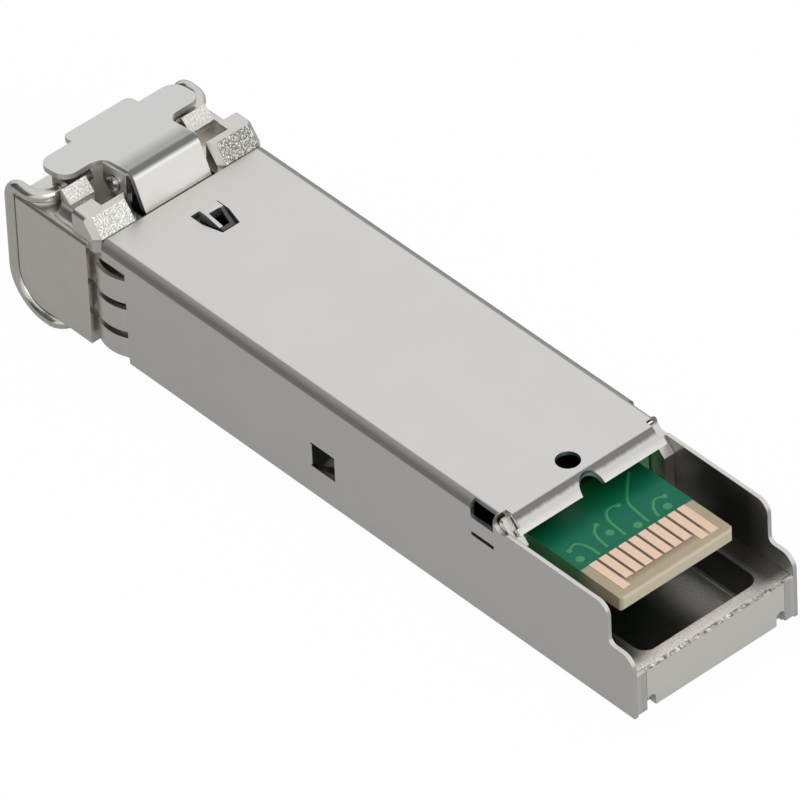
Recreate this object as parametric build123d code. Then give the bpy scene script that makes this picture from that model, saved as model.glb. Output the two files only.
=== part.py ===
"""Small form-factor pluggable optical transceiver, lying on its label side.

+X runs to the card-edge end, +Y across, +Z up to the latch side. The origin is
the middle of the underside of the whole object. All sizes are millimetres. A
"reach" is measured from the very front, a "setback" from the very rear, and a
"drop" or "rise" from the cover's top face.
"""

from build123d import *

import math
import os

# Overall
overall_length = 56.5

# Optical ports
port_pitch = 6.25
port_size = 4.7
key_width = 3.1
key_depth = 1.3
insert_wall = 0.3
insert_side_wall = 0.575
insert_floor_gap = 0.25
insert_depth = 9.0
insert_front_inset = 0.15
insert_back_wall = 1.0
latch_window_length = 1.6
latch_window_setback = 3.4
latch_room = 1.65
nose_side_wall = 1.05
nose_overhang = 0.4

# Cover sheet
sheet = 0.3
fold_radius = 0.5
cover_reach = 8.65
lip_setback = 11.45
lip_run = 0.95
lip_inset = 0.7
lip_bend_radius = 0.5
lip_notch_radius = 0.9
corner_relief_radius = 0.7
vent_radius = 0.8
vent_setback = 12.8
fold_slot_length = 2.0
fold_slot_setback = 12.2
fold_slot_drop = 1.3
side_slit_height = 0.3
side_slit_drop = 2.7
snap_length = 2.15
snap_height = 1.9
snap_z = 2.2
snap_setback = 26.65
snap_bend_deg = 28.0
finger_count = 3
finger_slot_height = 0.5
finger_slot_pitch = 2.3
finger_first_slot_z = 2.05
finger_length = 2.4
finger_bulge = 0.35
rear_tab_width = 1.05

# Side walls beside the card edge
wing_drop = 0.85
wing_step_setback = 2.15
wing_corner_radius = 0.9
wing_shelf_drop = 3.8
wing_shelf_radius = 0.5
wing_end_radius = 1.0
wing_end_drop = 5.05

# Cast housing
ledge_z = 3.25
floor_thickness = 0.65
pocket_inset = 1.95
pocket_end_setback = 1.15
pocket_corner_radius = 0.9
side_wall = 1.15
shelf_wall = 1.75
wall_end_setback = 10.3
label_recess = 0.15
label_recess_inset = 1.5
label_recess_reach = 14.5
end_notch_width = 0.7
end_notch_height = 1.1
slot_pocket_depth = 0.45
cover_fit = 0.02

# Cast nose
nose_reach = 7.65
nose_front_gap = 0.1
nose_drop = 0.5
nose_corner_radius = 2.2
nose_edge_radius = 0.35
nose_web = 0.5
platform_rise = 1.2
platform_front_reach = 6.2
platform_rear_reach = 8.55
platform_slope = 0.95
platform_chamfer = 0.4
platform_inner = 3.35
platform_step = 5.2
platform_ridge = 0.5
platform_inset = 0.25
platform_rib_width = 0.3
platform_rib_depth = 0.15
block_rear_reach = 4.95
block_front_reach = 2.55
block_step_reach = 4.05
block_rise = 1.1
block_slope = 0.8
block_inner = 3.95
block_inset = 1.2
block_thin_inset = 1.8

# Optical subassemblies
bore_diameter = 1.254
mouth_clearance = 0.1
sleeve_inset = 0.3
sleeve_outer = 1.8
sleeve_length = 5.0
barrel_nose_diameter = 2.9
barrel_nose_length = 3.2
barrel_body_diameter = 4.2
barrel_body_length = 3.4
barrel_flange_diameter = 5.2
barrel_flange_thickness = 0.8
barrel_rim_chamfer = 0.2
can_diameter = 4.7
can_length = 2.6
header_diameter = 5.6
header_thickness = 1.0
lead_count = 4
lead_diameter = 0.4
lead_circle = 1.9
lead_length = 1.2
stub_diameter = 1.6
stub_length = 2.4
clamp_thickness = 0.6
clamp_side_gap = 0.5
clamp_gap = 0.05
flex_thickness = 0.15
flex_width = 3.4
flex_lap = 1.6

# Circuit board
board_thickness = 1.0
board_face_drop = 2.25
board_end_setback = 3.2
board_edge_width = 9.2
board_side_gap = 0.1
board_front_gap = 1.31
board_step_setback = 11.6
board_corner_chamfer = 0.2
board_bevel = 0.12
contact_pitch = 0.8
contact_width = 0.6
contact_count = 10
contact_thickness = 0.035
contact_front_setback = 6.83
contact_long_end_setback = 3.78
contact_short_end_setback = 4.4
component_gap = 0.01

# Parts on the circuit board, along it from its front edge
chip_height = 0.85
chip_side = 2.7
chip_lead_width = 0.25
chip_lead_pitch = 1.0
chip_lead_reach = 0.3
driver_size = 4.0
driver_run = 5.5
amplifier_size = 3.0
amplifier_run = 5.0
control_size = 5.0
control_run = 5.9
memory_length = 3.0
memory_width = 2.0
memory_run = 14.7
passive_length = 1.0
passive_width = 0.5
passive_cap = 0.22
passive_waist = 0.03
passive_pitch = 1.1
passive_inset = 1.25
capacitor_height = 0.5
capacitor_front_run = 9.7
capacitor_front_count = 5
capacitor_rear_run = 18.5
capacitor_rear_count = 4
resistor_height = 0.35
resistor_front_run = 12.5
resistor_middle_run = 14.1
resistor_rear_run = 20.3
resistor_row_count = 3
inductor_size = 2.0
inductor_height = 1.2
inductor_corner_radius = 0.4
inductor_run = 16.7
inductor_side = 0.1
inductor_pitch = 2.5

# Latch lever
plate = 0.4
lever_rise = 2.3
lever_bend_reach = 7.05
lever_slope_deg = 7.5
lever_flap_half_width = 2.7
lever_lobe_inset = 1.45
lever_lobe_rear_reach = 4.25
lever_front_reach = 1.5
lever_tongue_reach = 0.55
lever_tongue_half_width = 2.75
lever_lobe_radius = 1.0
lever_arch_radius = 0.9
lever_tongue_radius = 0.45
lever_fold_radius = 0.6
lever_skirt_drop = 0.75
lever_skirt_inner = 4.1
flap_foot_reach = 8.25
tail_depth = 0.05
tail_end_reach = 13.05
ear_inner = 2.5
ear_length = 2.2
ear_depth = 2.2
ear_corner_radius = 0.7
boss_height = 0.45
boss_front_reach = 11.05
boss_flat = 0.6
boss_half_width = 0.7
boss_rear_half_width = 0.5
boss_length = 1.95
boss_wall = 0.25
window_clearance = 0.2
window_side_clearance = 0.4
pivot_reach = 5.65
pivot_rise = 0.8
pivot_diameter = 1.0
pivot_clearance = 0.04
pin_end = 0.3
pin_chamfer = 0.1
pedestal_margin = 0.6
pedestal_cap = 0.2
cam_tab_width = 0.6
cam_tab_rise = 0.9

# Bail
wire = 0.9
bail_gap = 0.15
bail_pivot_reach = 3.25
bail_pivot_rise = 0.15
bail_inset = 0.2
bail_bar_reach = 4.55
bail_bar_bend = 1.0
bail_top_bend = 1.0
bail_entry_bend = 1.4
bail_bore_clearance = 0.05
crank_offset = 0.5
crank_gap = 0.06

# Return spring
spring_thickness = 0.15
spring_half_width = 1.2
spring_foot_length = 1.0
spring_rise_run = 1.9

# Ground spring strip
strip_finger_count = 5
strip_finger_width = 1.7
strip_finger_pitch = 2.1
strip_bulge = 0.4
strip_band = 0.6

# Widths worked out from the ports
insert_half_width = (port_pitch + port_size) / 2 + insert_side_wall
half_nose = insert_half_width + nose_side_wall
half_body = half_nose - nose_overhang
inner_side = half_body - sheet
cast_half = inner_side - cover_fit
wall_half_gap = half_body - side_wall
board_half_width = wall_half_gap - board_side_gap
block_outer = half_nose - block_inset
lever_lobe_half_width = half_nose - lever_lobe_inset
bail_half_width = half_nose - bail_inset

# Heights worked out from the ports
label_z = bail_gap + wire
insert_low_z = label_z + insert_floor_gap
axis_z = insert_low_z + insert_wall + key_depth + port_size / 2
insert_high_z = axis_z + port_size / 2 + insert_wall
top_z = insert_high_z + latch_room
cover_under_z = top_z - sheet
cast_top_z = cover_under_z - cover_fit
nose_top_z = top_z - nose_drop
floor_z = label_z + floor_thickness
board_top_z = top_z - board_face_drop
board_under_z = board_top_z - board_thickness
pivot_z = top_z + pivot_rise
bail_pivot_z = top_z + bail_pivot_rise
lever_top = top_z + lever_rise
tail_top = cover_under_z - tail_depth

# Places along the module
rear_x = overall_length / 2
front_x = -overall_length / 2
nose_front_x = front_x + wire + nose_front_gap
nose_rear_x = front_x + nose_reach
cover_front_x = front_x + cover_reach
finger_end_x = cover_front_x + finger_length
lip_x = rear_x - lip_setback
wall_end_x = rear_x - wall_end_setback
insert_front_x = nose_front_x + insert_front_inset
insert_back_x = insert_front_x + insert_depth
port_back_x = insert_back_x - insert_back_wall
barrel_front_x = port_back_x - barrel_nose_length
sleeve_front_x = barrel_front_x + sleeve_inset
sleeve_back_x = sleeve_front_x + sleeve_length
flange_back_x = insert_back_x + barrel_flange_thickness
barrel_back_x = flange_back_x + clamp_thickness + barrel_body_length
can_back_x = barrel_back_x + can_length
header_back_x = can_back_x + header_thickness
board_front_x = header_back_x + board_front_gap
board_end_x = rear_x - board_end_setback
pivot_x = front_x + pivot_reach
bail_pivot_x = front_x + bail_pivot_reach
boss_front_x = front_x + boss_front_reach


# Run of a cut past the faces that it opens
past = 1.0
near = 0.05
touch = 0.01


def block(x0, x1, y0, y1, z0, z1):
    """Box between two opposite corners."""
    size = Box(abs(x1 - x0), abs(y1 - y0), abs(z1 - z0))
    return Pos((x0 + x1) / 2, (y0 + y1) / 2, (z0 + z1) / 2) * size


def both_sides(shape):
    """A shape and its mirror image across the centre plane."""
    return shape + mirror(shape, Plane.XZ)


def port_y(side):
    """Centre line of one port: -1 for transmit, +1 for receive."""
    return side * port_pitch / 2


def rod_x(x0, x1, y, z, diameter):
    """Round bar along X."""
    return Pos((x0 + x1) / 2, y, z) * Rot(0, 90, 0) * Cylinder(diameter / 2, abs(x1 - x0))


def rod_y(x, y0, y1, z, diameter):
    """Round bar along Y."""
    return Pos(x, (y0 + y1) / 2, z) * Rot(90, 0, 0) * Cylinder(diameter / 2, abs(y1 - y0))


def side_profile(points, y0, y1):
    """Prism along Y from a closed outline of (x, z) points."""
    outline = make_face(Polyline(*[(x, y0, z) for x, z in points], close=True))
    return extrude(outline, y1 - y0, dir=(0, 1, 0))


def plan_profile(points, z0, z1):
    """Prism along Z from a closed outline of (x, y) points."""
    outline = make_face(Polyline(*[(x, y, z0) for x, y in points], close=True))
    return extrude(outline, z1 - z0, dir=(0, 0, 1))


def edges_near(shape, axis, x=None, y=None, z=None):
    """Edges parallel to an axis whose middle lies at the given places."""
    found = []
    for edge in shape.edges().filter_by(axis):
        middle = edge.center()
        wanted = ((middle.X, x), (middle.Y, y), (middle.Z, z))
        if all(place is None or abs(value - place) < near for value, place in wanted):
            found.append(edge)
    return found


def wing_outline():
    """Space over the side walls at the card-edge end, as a face in the side view."""
    top = top_z - wing_drop
    step_x = rear_x - wing_step_setback
    shelf = top_z - wing_shelf_drop
    end = top_z - wing_end_drop
    line = FilletPolyline(
        (lip_x, 0, top), (step_x, 0, top), (step_x, 0, shelf), (rear_x, 0, shelf), (rear_x, 0, end),
        radius=[wing_corner_radius, wing_shelf_radius, wing_end_radius],
    )
    above, behind = top_z + past, rear_x + past
    closing = Polyline(
        (rear_x, 0, end), (behind, 0, end), (behind, 0, above), (lip_x, 0, above), (lip_x, 0, top)
    )
    return make_face(Wire(line.edges() + closing.edges()))


def cover_channel():
    """Top and both sides of the cover before its cut-outs."""
    outer = block(cover_front_x, rear_x, -half_body, half_body, label_z, top_z)
    outer = fillet(edges_near(outer, Axis.X, z=top_z), fold_radius)
    inner = block(cover_front_x - past, rear_x + past, -inner_side, inner_side, label_z - past, cover_under_z)
    inner = fillet(edges_near(inner, Axis.X, z=cover_under_z), fold_radius - sheet)
    return outer - inner


def cover_lip():
    """Lip at the rear edge of the cover's top, bent down by 45 degrees, with its half-round notch."""
    half, middle = half_body - lip_inset, top_z - sheet / 2
    bend = math.tan(math.radians(45 / 2))
    corner = lip_x - sheet / 2 * bend
    run = lip_run - sheet / 2 * (math.sqrt(0.5) - bend)
    path = FilletPolyline(
        (lip_x - past, 0, middle), (corner, 0, middle), (corner + run, 0, middle - run),
        radius=lip_bend_radius - sheet / 2,
    )
    outline = Plane(origin=path @ 0, x_dir=(0, 1, 0), z_dir=path % 0) * Rectangle(2 * half, sheet)
    notch = Pos(lip_x + lip_run, 0, top_z) * Cylinder(lip_notch_radius, 4 * lip_run)
    return sweep(outline, path=path) - notch


def finger(z0, z1):
    """One contact finger of the cover's side: an arc in plan that bulges outwards."""
    back, front = finger_end_x - sheet, nose_rear_x + sheet
    outer = [(back, half_body), ((back + front) / 2, half_body + finger_bulge), (front, half_body)]
    inner = [(x, y - sheet) for x, y in outer]
    loop = Wire([
        ThreePointArc(*outer),
        Line(outer[2], inner[2]),
        ThreePointArc(*reversed(inner)),
        Line(inner[0], outer[0]),
    ])
    return Pos(0, 0, z0) * extrude(make_face(loop), z1 - z0, dir=(0, 0, 1))


def finger_slot_z(i):
    """Lower edge of one slot between the fingers."""
    return label_z + finger_first_slot_z + i * finger_slot_pitch


def cover_fingers():
    """Contact fingers of one side of the cover."""
    lows = [label_z] + [finger_slot_z(i) for i in range(finger_count - 1)]
    return Part() + [
        finger(low + finger_slot_height, finger_slot_z(i)) for i, low in enumerate(lows)
    ]


def snap_tongue():
    """Tongue of the side window, bent inwards to hold the cover on the casting."""
    x0 = rear_x - snap_setback - snap_length
    angle = math.radians(snap_bend_deg)
    dx, dy = (snap_length - sheet) * math.cos(angle), (snap_length - sheet) * math.sin(angle)
    nx, ny = sheet * math.sin(angle), sheet * math.cos(angle)
    points = [
        (x0, half_body), (x0 + dx, half_body - dy), (x0 + dx - nx, half_body - dy - ny),
        (x0 - nx / 2, inner_side), (x0 - sheet, inner_side), (x0 - sheet, half_body),
    ]
    low = label_z + snap_z + sheet / 2
    return plan_profile(points, low, low + snap_height - sheet)


def boss_outline(clearance, side_clearance):
    """Five-sided plan of the locking boss, grown by a clearance along it and one beside it."""
    wide, narrow = boss_half_width + side_clearance, boss_rear_half_width + side_clearance / 2
    front = boss_front_x - 2 * clearance
    shoulder = boss_front_x + boss_flat + clearance / 2
    rear = boss_front_x + boss_length + clearance
    return [
        (front, -wide), (shoulder, -wide), (rear, -narrow), (rear, narrow), (shoulder, wide), (front, wide)
    ]


def rear_tab():
    """Tab of one side of the cover, folded round onto the casting's end wall."""
    return block(
        rear_x - sheet, rear_x, half_body - rear_tab_width, half_body - sheet / 2,
        label_z + sheet / 2, label_z + ledge_z - cover_fit,
    )


def side_cut(x1, length, z0, height):
    """Window through one side of the cover."""
    return block(x1 - length, x1, inner_side - sheet, half_body + past, z0, z0 + height)


def cover_openings():
    """Corner reliefs, fold slots, slits and snap windows of both sides."""
    relief_inner = half_body - lip_inset - sheet
    corner = rod_y(lip_x, relief_inner, half_body + past, cover_under_z, 2 * corner_relief_radius)
    slot_x = rear_x - fold_slot_setback
    slot = block(
        slot_x - fold_slot_length, slot_x, inner_side - sheet / 2, half_body + past, top_z - fold_slot_drop,
        top_z + past,
    )
    slit = side_cut(slot_x, fold_slot_length, top_z - side_slit_drop, side_slit_height)
    snap = side_cut(rear_x - snap_setback, snap_length, label_z + snap_z, snap_height)
    return both_sides(corner + slot + slit + snap)


def shell_cover():
    """Stamped cover: top, two sides, rear lip, contact fingers, snap tongues and tabs."""
    cover = cover_channel() - extrude(wing_outline(), half_nose, both=True)
    flat = inner_side - fold_radius
    cover -= block(lip_x - lip_bend_radius, rear_x + past, -flat, flat, top_z - past, top_z + past)
    zone_top = finger_slot_z(finger_count - 1) + finger_slot_height
    cover -= block(
        cover_front_x - past, finger_end_x - sheet, -half_nose, half_nose, label_z - past, zone_top
    )
    cover += both_sides(cover_fingers())
    cover += cover_lip()
    cover -= cover_openings()
    window = boss_outline(window_clearance, window_side_clearance)
    cover -= plan_profile(window, cover_under_z - past, top_z + past)
    cover -= Pos(rear_x - vent_setback, 0, top_z) * Cylinder(vent_radius, 4 * sheet)
    return cover + both_sides(snap_tongue()) + both_sides(rear_tab())


def nose_block():
    """Front block of the casting, with its rounded lower front corner."""
    shape = block(nose_front_x, nose_rear_x, -half_nose, half_nose, label_z, nose_top_z)
    shape = fillet(edges_near(shape, Axis.Y, x=nose_front_x, z=label_z), nose_corner_radius)
    return fillet(edges_near(shape, Axis.X, z=nose_top_z), nose_edge_radius)


def nose_cove():
    """Concave cast fillet that rises from the nose's rim to the blocks on top."""
    x0, x1 = bail_pivot_x + wire, front_x + platform_front_reach + touch
    y1 = half_nose - nose_edge_radius
    radius = y1 - block_outer
    fill = block(x0, x1, block_outer - touch, y1, nose_top_z - touch, nose_top_z + radius)
    return fill - rod_x(x0 - past, x1 + past, y1, nose_top_z + radius, 2 * radius)


def platform():
    """Raised cast platform beside the latch: deep outside, a thin ridge inside, sloping to the rear."""
    front, rear = front_x + platform_front_reach, front_x + platform_rear_reach
    low, top, outer = nose_top_z - nose_web, top_z + platform_rise, half_nose - platform_inset
    crest, c = rear - platform_slope, platform_chamfer
    upper = side_profile([(front, top_z), (rear, top_z), (crest, top), (front, top)], platform_inner, outer)
    slope = upper.faces().sort_by(Axis.X)[-1]
    middle_z = top_z + platform_rise / 2
    upper = chamfer([edge for edge in slope.edges() if abs(edge.center().Z - middle_z) < near], c)
    upper = fillet(edges_near(upper, Axis.X, y=outer, z=top), nose_edge_radius)
    corners = [
        (front, platform_inner), (rear - c, platform_inner), (rear, platform_inner + c), (rear, outer - c),
        (rear - c, outer), (front, outer),
    ]
    middle, d = (platform_inner + outer) / 2, platform_rib_depth
    high = top - 2 * d
    rib_x = rear - platform_slope * (high - top_z) / platform_rise + d
    rib = [(crest, top_z), (rear - touch, top_z), (rib_x, high), (crest - d, high)]
    half = platform_rib_width / 2
    shape = plan_profile(corners, low, top_z) + upper + side_profile(rib, middle - half, middle + half)
    return shape - block(front - past, crest - platform_ridge, 0, platform_step, top_z, top + past)


def bail_block():
    """Cast block that carries one end of the bail."""
    rear, front = front_x + block_rear_reach, front_x + block_front_reach
    step = front_x + block_step_reach
    low, high = nose_top_z - nose_web, top_z + block_rise
    shape = block(front, rear, block_inner, half_nose - block_thin_inset, low, high)
    shape += block(step, rear, block_inner, block_outer, low, high)
    shape = chamfer(edges_near(shape, Axis.Y, x=rear, z=high), block_slope)
    diameter = wire + 2 * bail_bore_clearance
    return shape - rod_y(bail_pivot_x, block_inner - past, block_outer + past, bail_pivot_z, diameter)


def pin_pedestal():
    """Cast pedestal under the lever that carries the pivot pin."""
    half = ear_inner - pivot_clearance
    reach = pivot_diameter / 2 + pedestal_margin
    high = pivot_z + pivot_diameter / 2 + pedestal_cap
    body = block(pivot_x - reach, pivot_x + reach, -half, half, nose_top_z - nose_web, high)
    return fillet(edges_near(body, Axis.Y, z=high), reach - sheet)


def housing_cavity():
    """Room for the board and the optics: lower pocket and wider upper part."""
    front, rear = insert_back_x, rear_x - pocket_end_setback
    pocket, shelf = half_body - pocket_inset, half_body - shelf_wall
    lower = block(front, rear, -pocket, pocket, floor_z, board_under_z)
    lower = fillet(edges_near(lower, Axis.Z, x=rear), pocket_corner_radius)
    foot = lower.faces().sort_by(Axis.Z)[0].edges().sort_by(Axis.X)[-1]
    lower = fillet(foot, sheet)
    room = lower + block(front, wall_end_x, -shelf, shelf, floor_z, board_under_z)
    room += block(front, wall_end_x + past, -wall_half_gap, wall_half_gap, board_under_z, top_z + past)
    return room + block(
        front, header_back_x + lead_length, -insert_half_width, insert_half_width, floor_z, top_z + past
    )


def card_bay():
    """Open bay over the ledge at the card-edge end."""
    return block(wall_end_x, rear_x + past, -half_body, half_body, label_z + ledge_z, top_z + past)


def lip_relief():
    """Slope on the ends of the side walls that clears the cover's rear lip."""
    x, low, reach = lip_x - sheet, cast_top_z, 2 * lip_run
    points = [(x, low + reach), (x, low), (x + reach, low - reach), (x + reach, low + reach)]
    return side_profile(points, -half_body, half_body)


def end_wall_notches():
    """Notches under the end wall beside the cover's tabs, and the tabs' own seats."""
    edge = half_body - rear_tab_width
    low = label_z - past
    seat = block(
        rear_x - sheet - cover_fit, rear_x + past, edge - cover_fit, half_body, low, label_z + ledge_z + past
    )
    top = label_z + end_notch_height
    notch = block(rear_x - pocket_end_setback / 2, rear_x + past, edge - end_notch_width, edge, low, top)
    return both_sides(seat + fillet(edges_near(notch, Axis.X, z=top), end_notch_width / 2 - touch))


def snap_pocket():
    """Recess in the casting's side that the cover's snap tongue springs into."""
    x1 = rear_x - snap_setback + sheet / 2
    depth = snap_length * math.sin(math.radians(snap_bend_deg)) + sheet / 2
    z0 = label_z + snap_z - sheet / 2
    return block(x1 - snap_length - sheet, x1, inner_side - depth, half_body, z0, z0 + snap_height + sheet)


def slot_pocket():
    """Recess in the casting's side wall behind the cover's fold slot and slit."""
    x1, margin = rear_x - fold_slot_setback, sheet / 2
    return block(
        x1 - fold_slot_length - margin, x1 + margin, cast_half - slot_pocket_depth, half_body,
        top_z - side_slit_drop - margin, top_z,
    )


def lever_channel():
    """Channel for the lever's flap and tail, open to the receptacle below."""
    half = lever_flap_half_width + sheet
    front = pivot_x + pivot_diameter / 2 + pedestal_margin
    return block(front, insert_back_x + past, -half, half, insert_high_z, lever_top)


def receptacle_seat():
    """Room in the nose for the moulded receptacle."""
    half = insert_half_width
    return block(nose_front_x - past, insert_back_x + touch / 10, -half, half, insert_low_z, insert_high_z)


def label_seat():
    """Shallow recess of the label side."""
    half = half_body - label_recess_inset
    return block(
        front_x + label_recess_reach, rear_x + past, -half, half, label_z - past, label_z + label_recess
    )


def base_housing():
    """Cast housing: nose, latch blocks, side walls, ledge, pocket and end wall."""
    body = block(nose_rear_x - past, rear_x, -cast_half, cast_half, label_z, cast_top_z)
    body = fillet(edges_near(body, Axis.X, z=cast_top_z), fold_radius - sheet + cover_fit)
    on_top = both_sides(platform()) + both_sides(bail_block()) + both_sides(nose_cove()) + pin_pedestal()
    housing = nose_block() + body + on_top
    for cut in (housing_cavity(), card_bay(), lip_relief(), end_wall_notches()):
        housing -= cut
    for cut in (both_sides(snap_pocket()), both_sides(slot_pocket())):
        housing -= cut
    for cut in (lever_channel(), receptacle_seat(), label_seat(), strip_seat()):
        housing -= cut
    return housing - rod_y(pivot_x, -half_body, half_body, pivot_z, pivot_diameter)


def strip_half_length():
    """Half the length of the ground spring strip across the label side."""
    return ((strip_finger_count - 1) * strip_finger_pitch + strip_finger_width) / 2


def strip_seat():
    """Shallow seat on the label side for the ground spring strip."""
    half = strip_half_length() + cover_fit
    return block(nose_rear_x, finger_end_x + cover_fit, -half, half, label_z - past, label_z + sheet)


def strip_clearance():
    """Room over the strip's band, for a receptacle deep enough to reach it."""
    half = strip_half_length() + cover_fit
    front, rear = finger_end_x - strip_band - cover_fit, finger_end_x + cover_fit
    return block(front, rear, -half, half, label_z - past, label_z + sheet + cover_fit)


def ground_spring_strip():
    """Strip of contact fingers on the label side, behind the nose."""
    half = strip_half_length()
    x0, x1 = nose_rear_x + cover_fit, finger_end_x - strip_band
    strip = block(x1, finger_end_x, -half, half, label_z, label_z + sheet)
    outer = [(x1, label_z), ((x0 + x1) / 2, label_z - strip_bulge), (x0, label_z + sheet / 4)]
    inner = [(x, z + 0.7 * sheet) for x, z in outer]
    loop = Wire([
        ThreePointArc(*[(x, 0, z) for x, z in outer]),
        Line((outer[2][0], 0, outer[2][1]), (inner[2][0], 0, inner[2][1])),
        ThreePointArc(*[(x, 0, z) for x, z in reversed(inner)]),
        Line((inner[0][0], 0, inner[0][1]), (outer[0][0], 0, outer[0][1])),
    ])
    face = make_face(loop)
    for i in range(strip_finger_count):
        y = (i - (strip_finger_count - 1) / 2) * strip_finger_pitch
        strip += Pos(0, y, 0) * extrude(face, strip_finger_width / 2, both=True)
    return strip


def port_insert():
    """Moulded receptacle with two square ports, their keyways and latch windows."""
    wide, half = insert_half_width, port_size / 2
    shape = block(insert_front_x, insert_back_x, -wide, wide, insert_low_z, insert_high_z)
    mouth = insert_front_x - past
    key_end = insert_front_x + latch_window_setback + latch_window_length
    for side in (-1, 1):
        y = port_y(side)
        shape -= block(mouth, port_back_x, y - half, y + half, axis_z - half, axis_z + half)
        key_low = axis_z - half - key_depth
        shape -= block(mouth, key_end, y - key_width / 2, y + key_width / 2, key_low, axis_z)
        shape -= rod_x(mouth, insert_back_x + past, y, axis_z, barrel_nose_diameter + 2 * clamp_gap)
    return shape - strip_clearance()


def optical_barrel(side):
    """Turned barrel of one optical subassembly, with its flange and ferrule bore."""
    y = port_y(side)
    shape = rod_x(barrel_front_x, insert_back_x, y, axis_z, barrel_nose_diameter)
    shape += rod_x(insert_back_x, flange_back_x, y, axis_z, barrel_flange_diameter)
    shape += rod_x(flange_back_x, barrel_back_x, y, axis_z, barrel_body_diameter)
    rim = [e for e in shape.edges().filter_by(GeomType.CIRCLE) if e.center().X < barrel_front_x + near]
    shape = chamfer(rim, barrel_rim_chamfer)
    shape -= rod_x(barrel_front_x - past, sleeve_front_x, y, axis_z, bore_diameter + mouth_clearance)
    shape -= rod_x(sleeve_front_x, sleeve_back_x, y, axis_z, sleeve_outer)
    return shape - rod_x(sleeve_back_x, barrel_back_x + past, y, axis_z, stub_diameter)


def ceramic_sleeves():
    """Ceramic alignment sleeve of each port."""
    shapes = []
    for side in (-1, 1):
        tube = rod_x(sleeve_front_x, sleeve_back_x, port_y(side), axis_z, sleeve_outer)
        bore = rod_x(sleeve_front_x - past, sleeve_back_x + past, port_y(side), axis_z, bore_diameter)
        shapes.append(tube - bore)
    return shapes


def fibre_stubs():
    """Ceramic stub behind each sleeve, which the plug's ferrule meets."""
    return [
        rod_x(sleeve_back_x, sleeve_back_x + stub_length, port_y(side), axis_z, stub_diameter)
        for side in (-1, 1)
    ]


def optical_can(side):
    """Round can and header of one optical subassembly."""
    can = rod_x(barrel_back_x, can_back_x, port_y(side), axis_z, can_diameter)
    return can + rod_x(can_back_x, header_back_x, port_y(side), axis_z, header_diameter)


def can_leads(side):
    """Leads out of the back of one can."""
    shapes = []
    for i in range(lead_count):
        angle = 2 * math.pi * (i + 0.5) / lead_count
        y = port_y(side) + lead_circle / 2 * math.cos(angle)
        z = axis_z + lead_circle / 2 * math.sin(angle)
        shapes.append(rod_x(header_back_x, header_back_x + lead_length, y, z, lead_diameter))
    return shapes


def flex_circuit(side):
    """Flexible circuit from the leads of one can up to the board's face."""
    y, half = port_y(side), flex_width / 2
    x0 = header_back_x + lead_length / 2
    low, face_z = axis_z - header_diameter / 3, board_top_z + component_gap
    shape = block(x0, x0 + flex_thickness, y - half, y + half, low, face_z + flex_thickness)
    shape += block(x0, board_front_x + flex_lap, y - half, y + half, face_z, face_z + flex_thickness)
    for lead in can_leads(side):
        shape -= lead
    return shape


def optics_clamp():
    """Stamped clamp that holds both barrel flanges against the receptacle."""
    x0, x1 = flange_back_x, flange_back_x + clamp_thickness
    half, hole = insert_half_width - clamp_side_gap, barrel_body_diameter + 2 * clamp_gap
    shape = block(x0, x1, -half, half, floor_z, axis_z + barrel_flange_diameter / 2)
    for side in (-1, 1):
        y = port_y(side)
        shape -= rod_x(x0 - past, x1 + past, y, axis_z, hole)
        shape -= block(x0 - past, x1 + past, y - hole / 2, y + hole / 2, axis_z, top_z)
    return shape


def circuit_board():
    """Circuit board with its narrower card edge, chamfered corners and bevelled end."""
    front, step, end = board_front_x, rear_x - board_step_setback, board_end_x
    wide, narrow, c = board_half_width, board_edge_width / 2, board_corner_chamfer
    points = [
        (front, -wide), (step, -wide), (step, -narrow), (end - c, -narrow), (end, -narrow + c),
        (end, narrow - c), (end - c, narrow), (step, narrow), (step, wide), (front, wide),
    ]
    board = plan_profile(points, board_under_z, board_top_z)
    return chamfer(edges_near(board, Axis.Y, x=end), board_bevel)


def contact_pads():
    """Gold contacts of the card edge, on both faces, with three long ones."""
    shapes = []
    x0, half = rear_x - contact_front_setback, contact_width / 2
    for i in range(contact_count):
        y = (i - (contact_count - 1) / 2) * contact_pitch
        is_long = i == 0 or i >= contact_count - 2
        x1 = rear_x - (contact_long_end_setback if is_long else contact_short_end_setback)
        shapes.append(block(x0, x1, y - half, y + half, board_top_z, board_top_z + contact_thickness))
        shapes.append(block(x0, x1, y - half, y + half, board_under_z - contact_thickness, board_under_z))
    return shapes


def chip(run, y, length, width, above=True):
    """Moulded chip package with a bevel round its outer face."""
    x = board_front_x + run
    z0 = board_top_z if above else board_under_z - chip_height
    body = block(x - length / 2, x + length / 2, y - width / 2, y + width / 2, z0, z0 + chip_height)
    face = body.faces().sort_by(Axis.Z)[-1 if above else 0]
    return chamfer(face.edges(), chip_height / 10)


def gull_lead(x, root, side):
    """One bent lead of a small package."""
    knee, foot = root + side * chip_lead_reach, root + side * 2 * chip_lead_reach
    half, t = chip_lead_width / 2, chip_lead_width / 2
    middle = board_top_z + chip_height / 2
    arm = block(x - half, x + half, root, knee, middle, middle + t)
    drop = block(x - half, x + half, knee - side * t, knee, board_top_z, middle)
    return arm + drop + block(x - half, x + half, knee, foot, board_top_z, board_top_z + t)


def memory_chip():
    """Small memory package with a row of bent leads along each side."""
    x = board_front_x + memory_run
    shape = chip(memory_run, chip_side, memory_length, memory_width)
    count = int(memory_length / chip_lead_pitch)
    for i in range(count):
        lead_x = x + (i - (count - 1) / 2) * chip_lead_pitch
        for side in (-1, 1):
            shape += gull_lead(lead_x, chip_side + side * memory_width / 2, side)
    return shape


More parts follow.
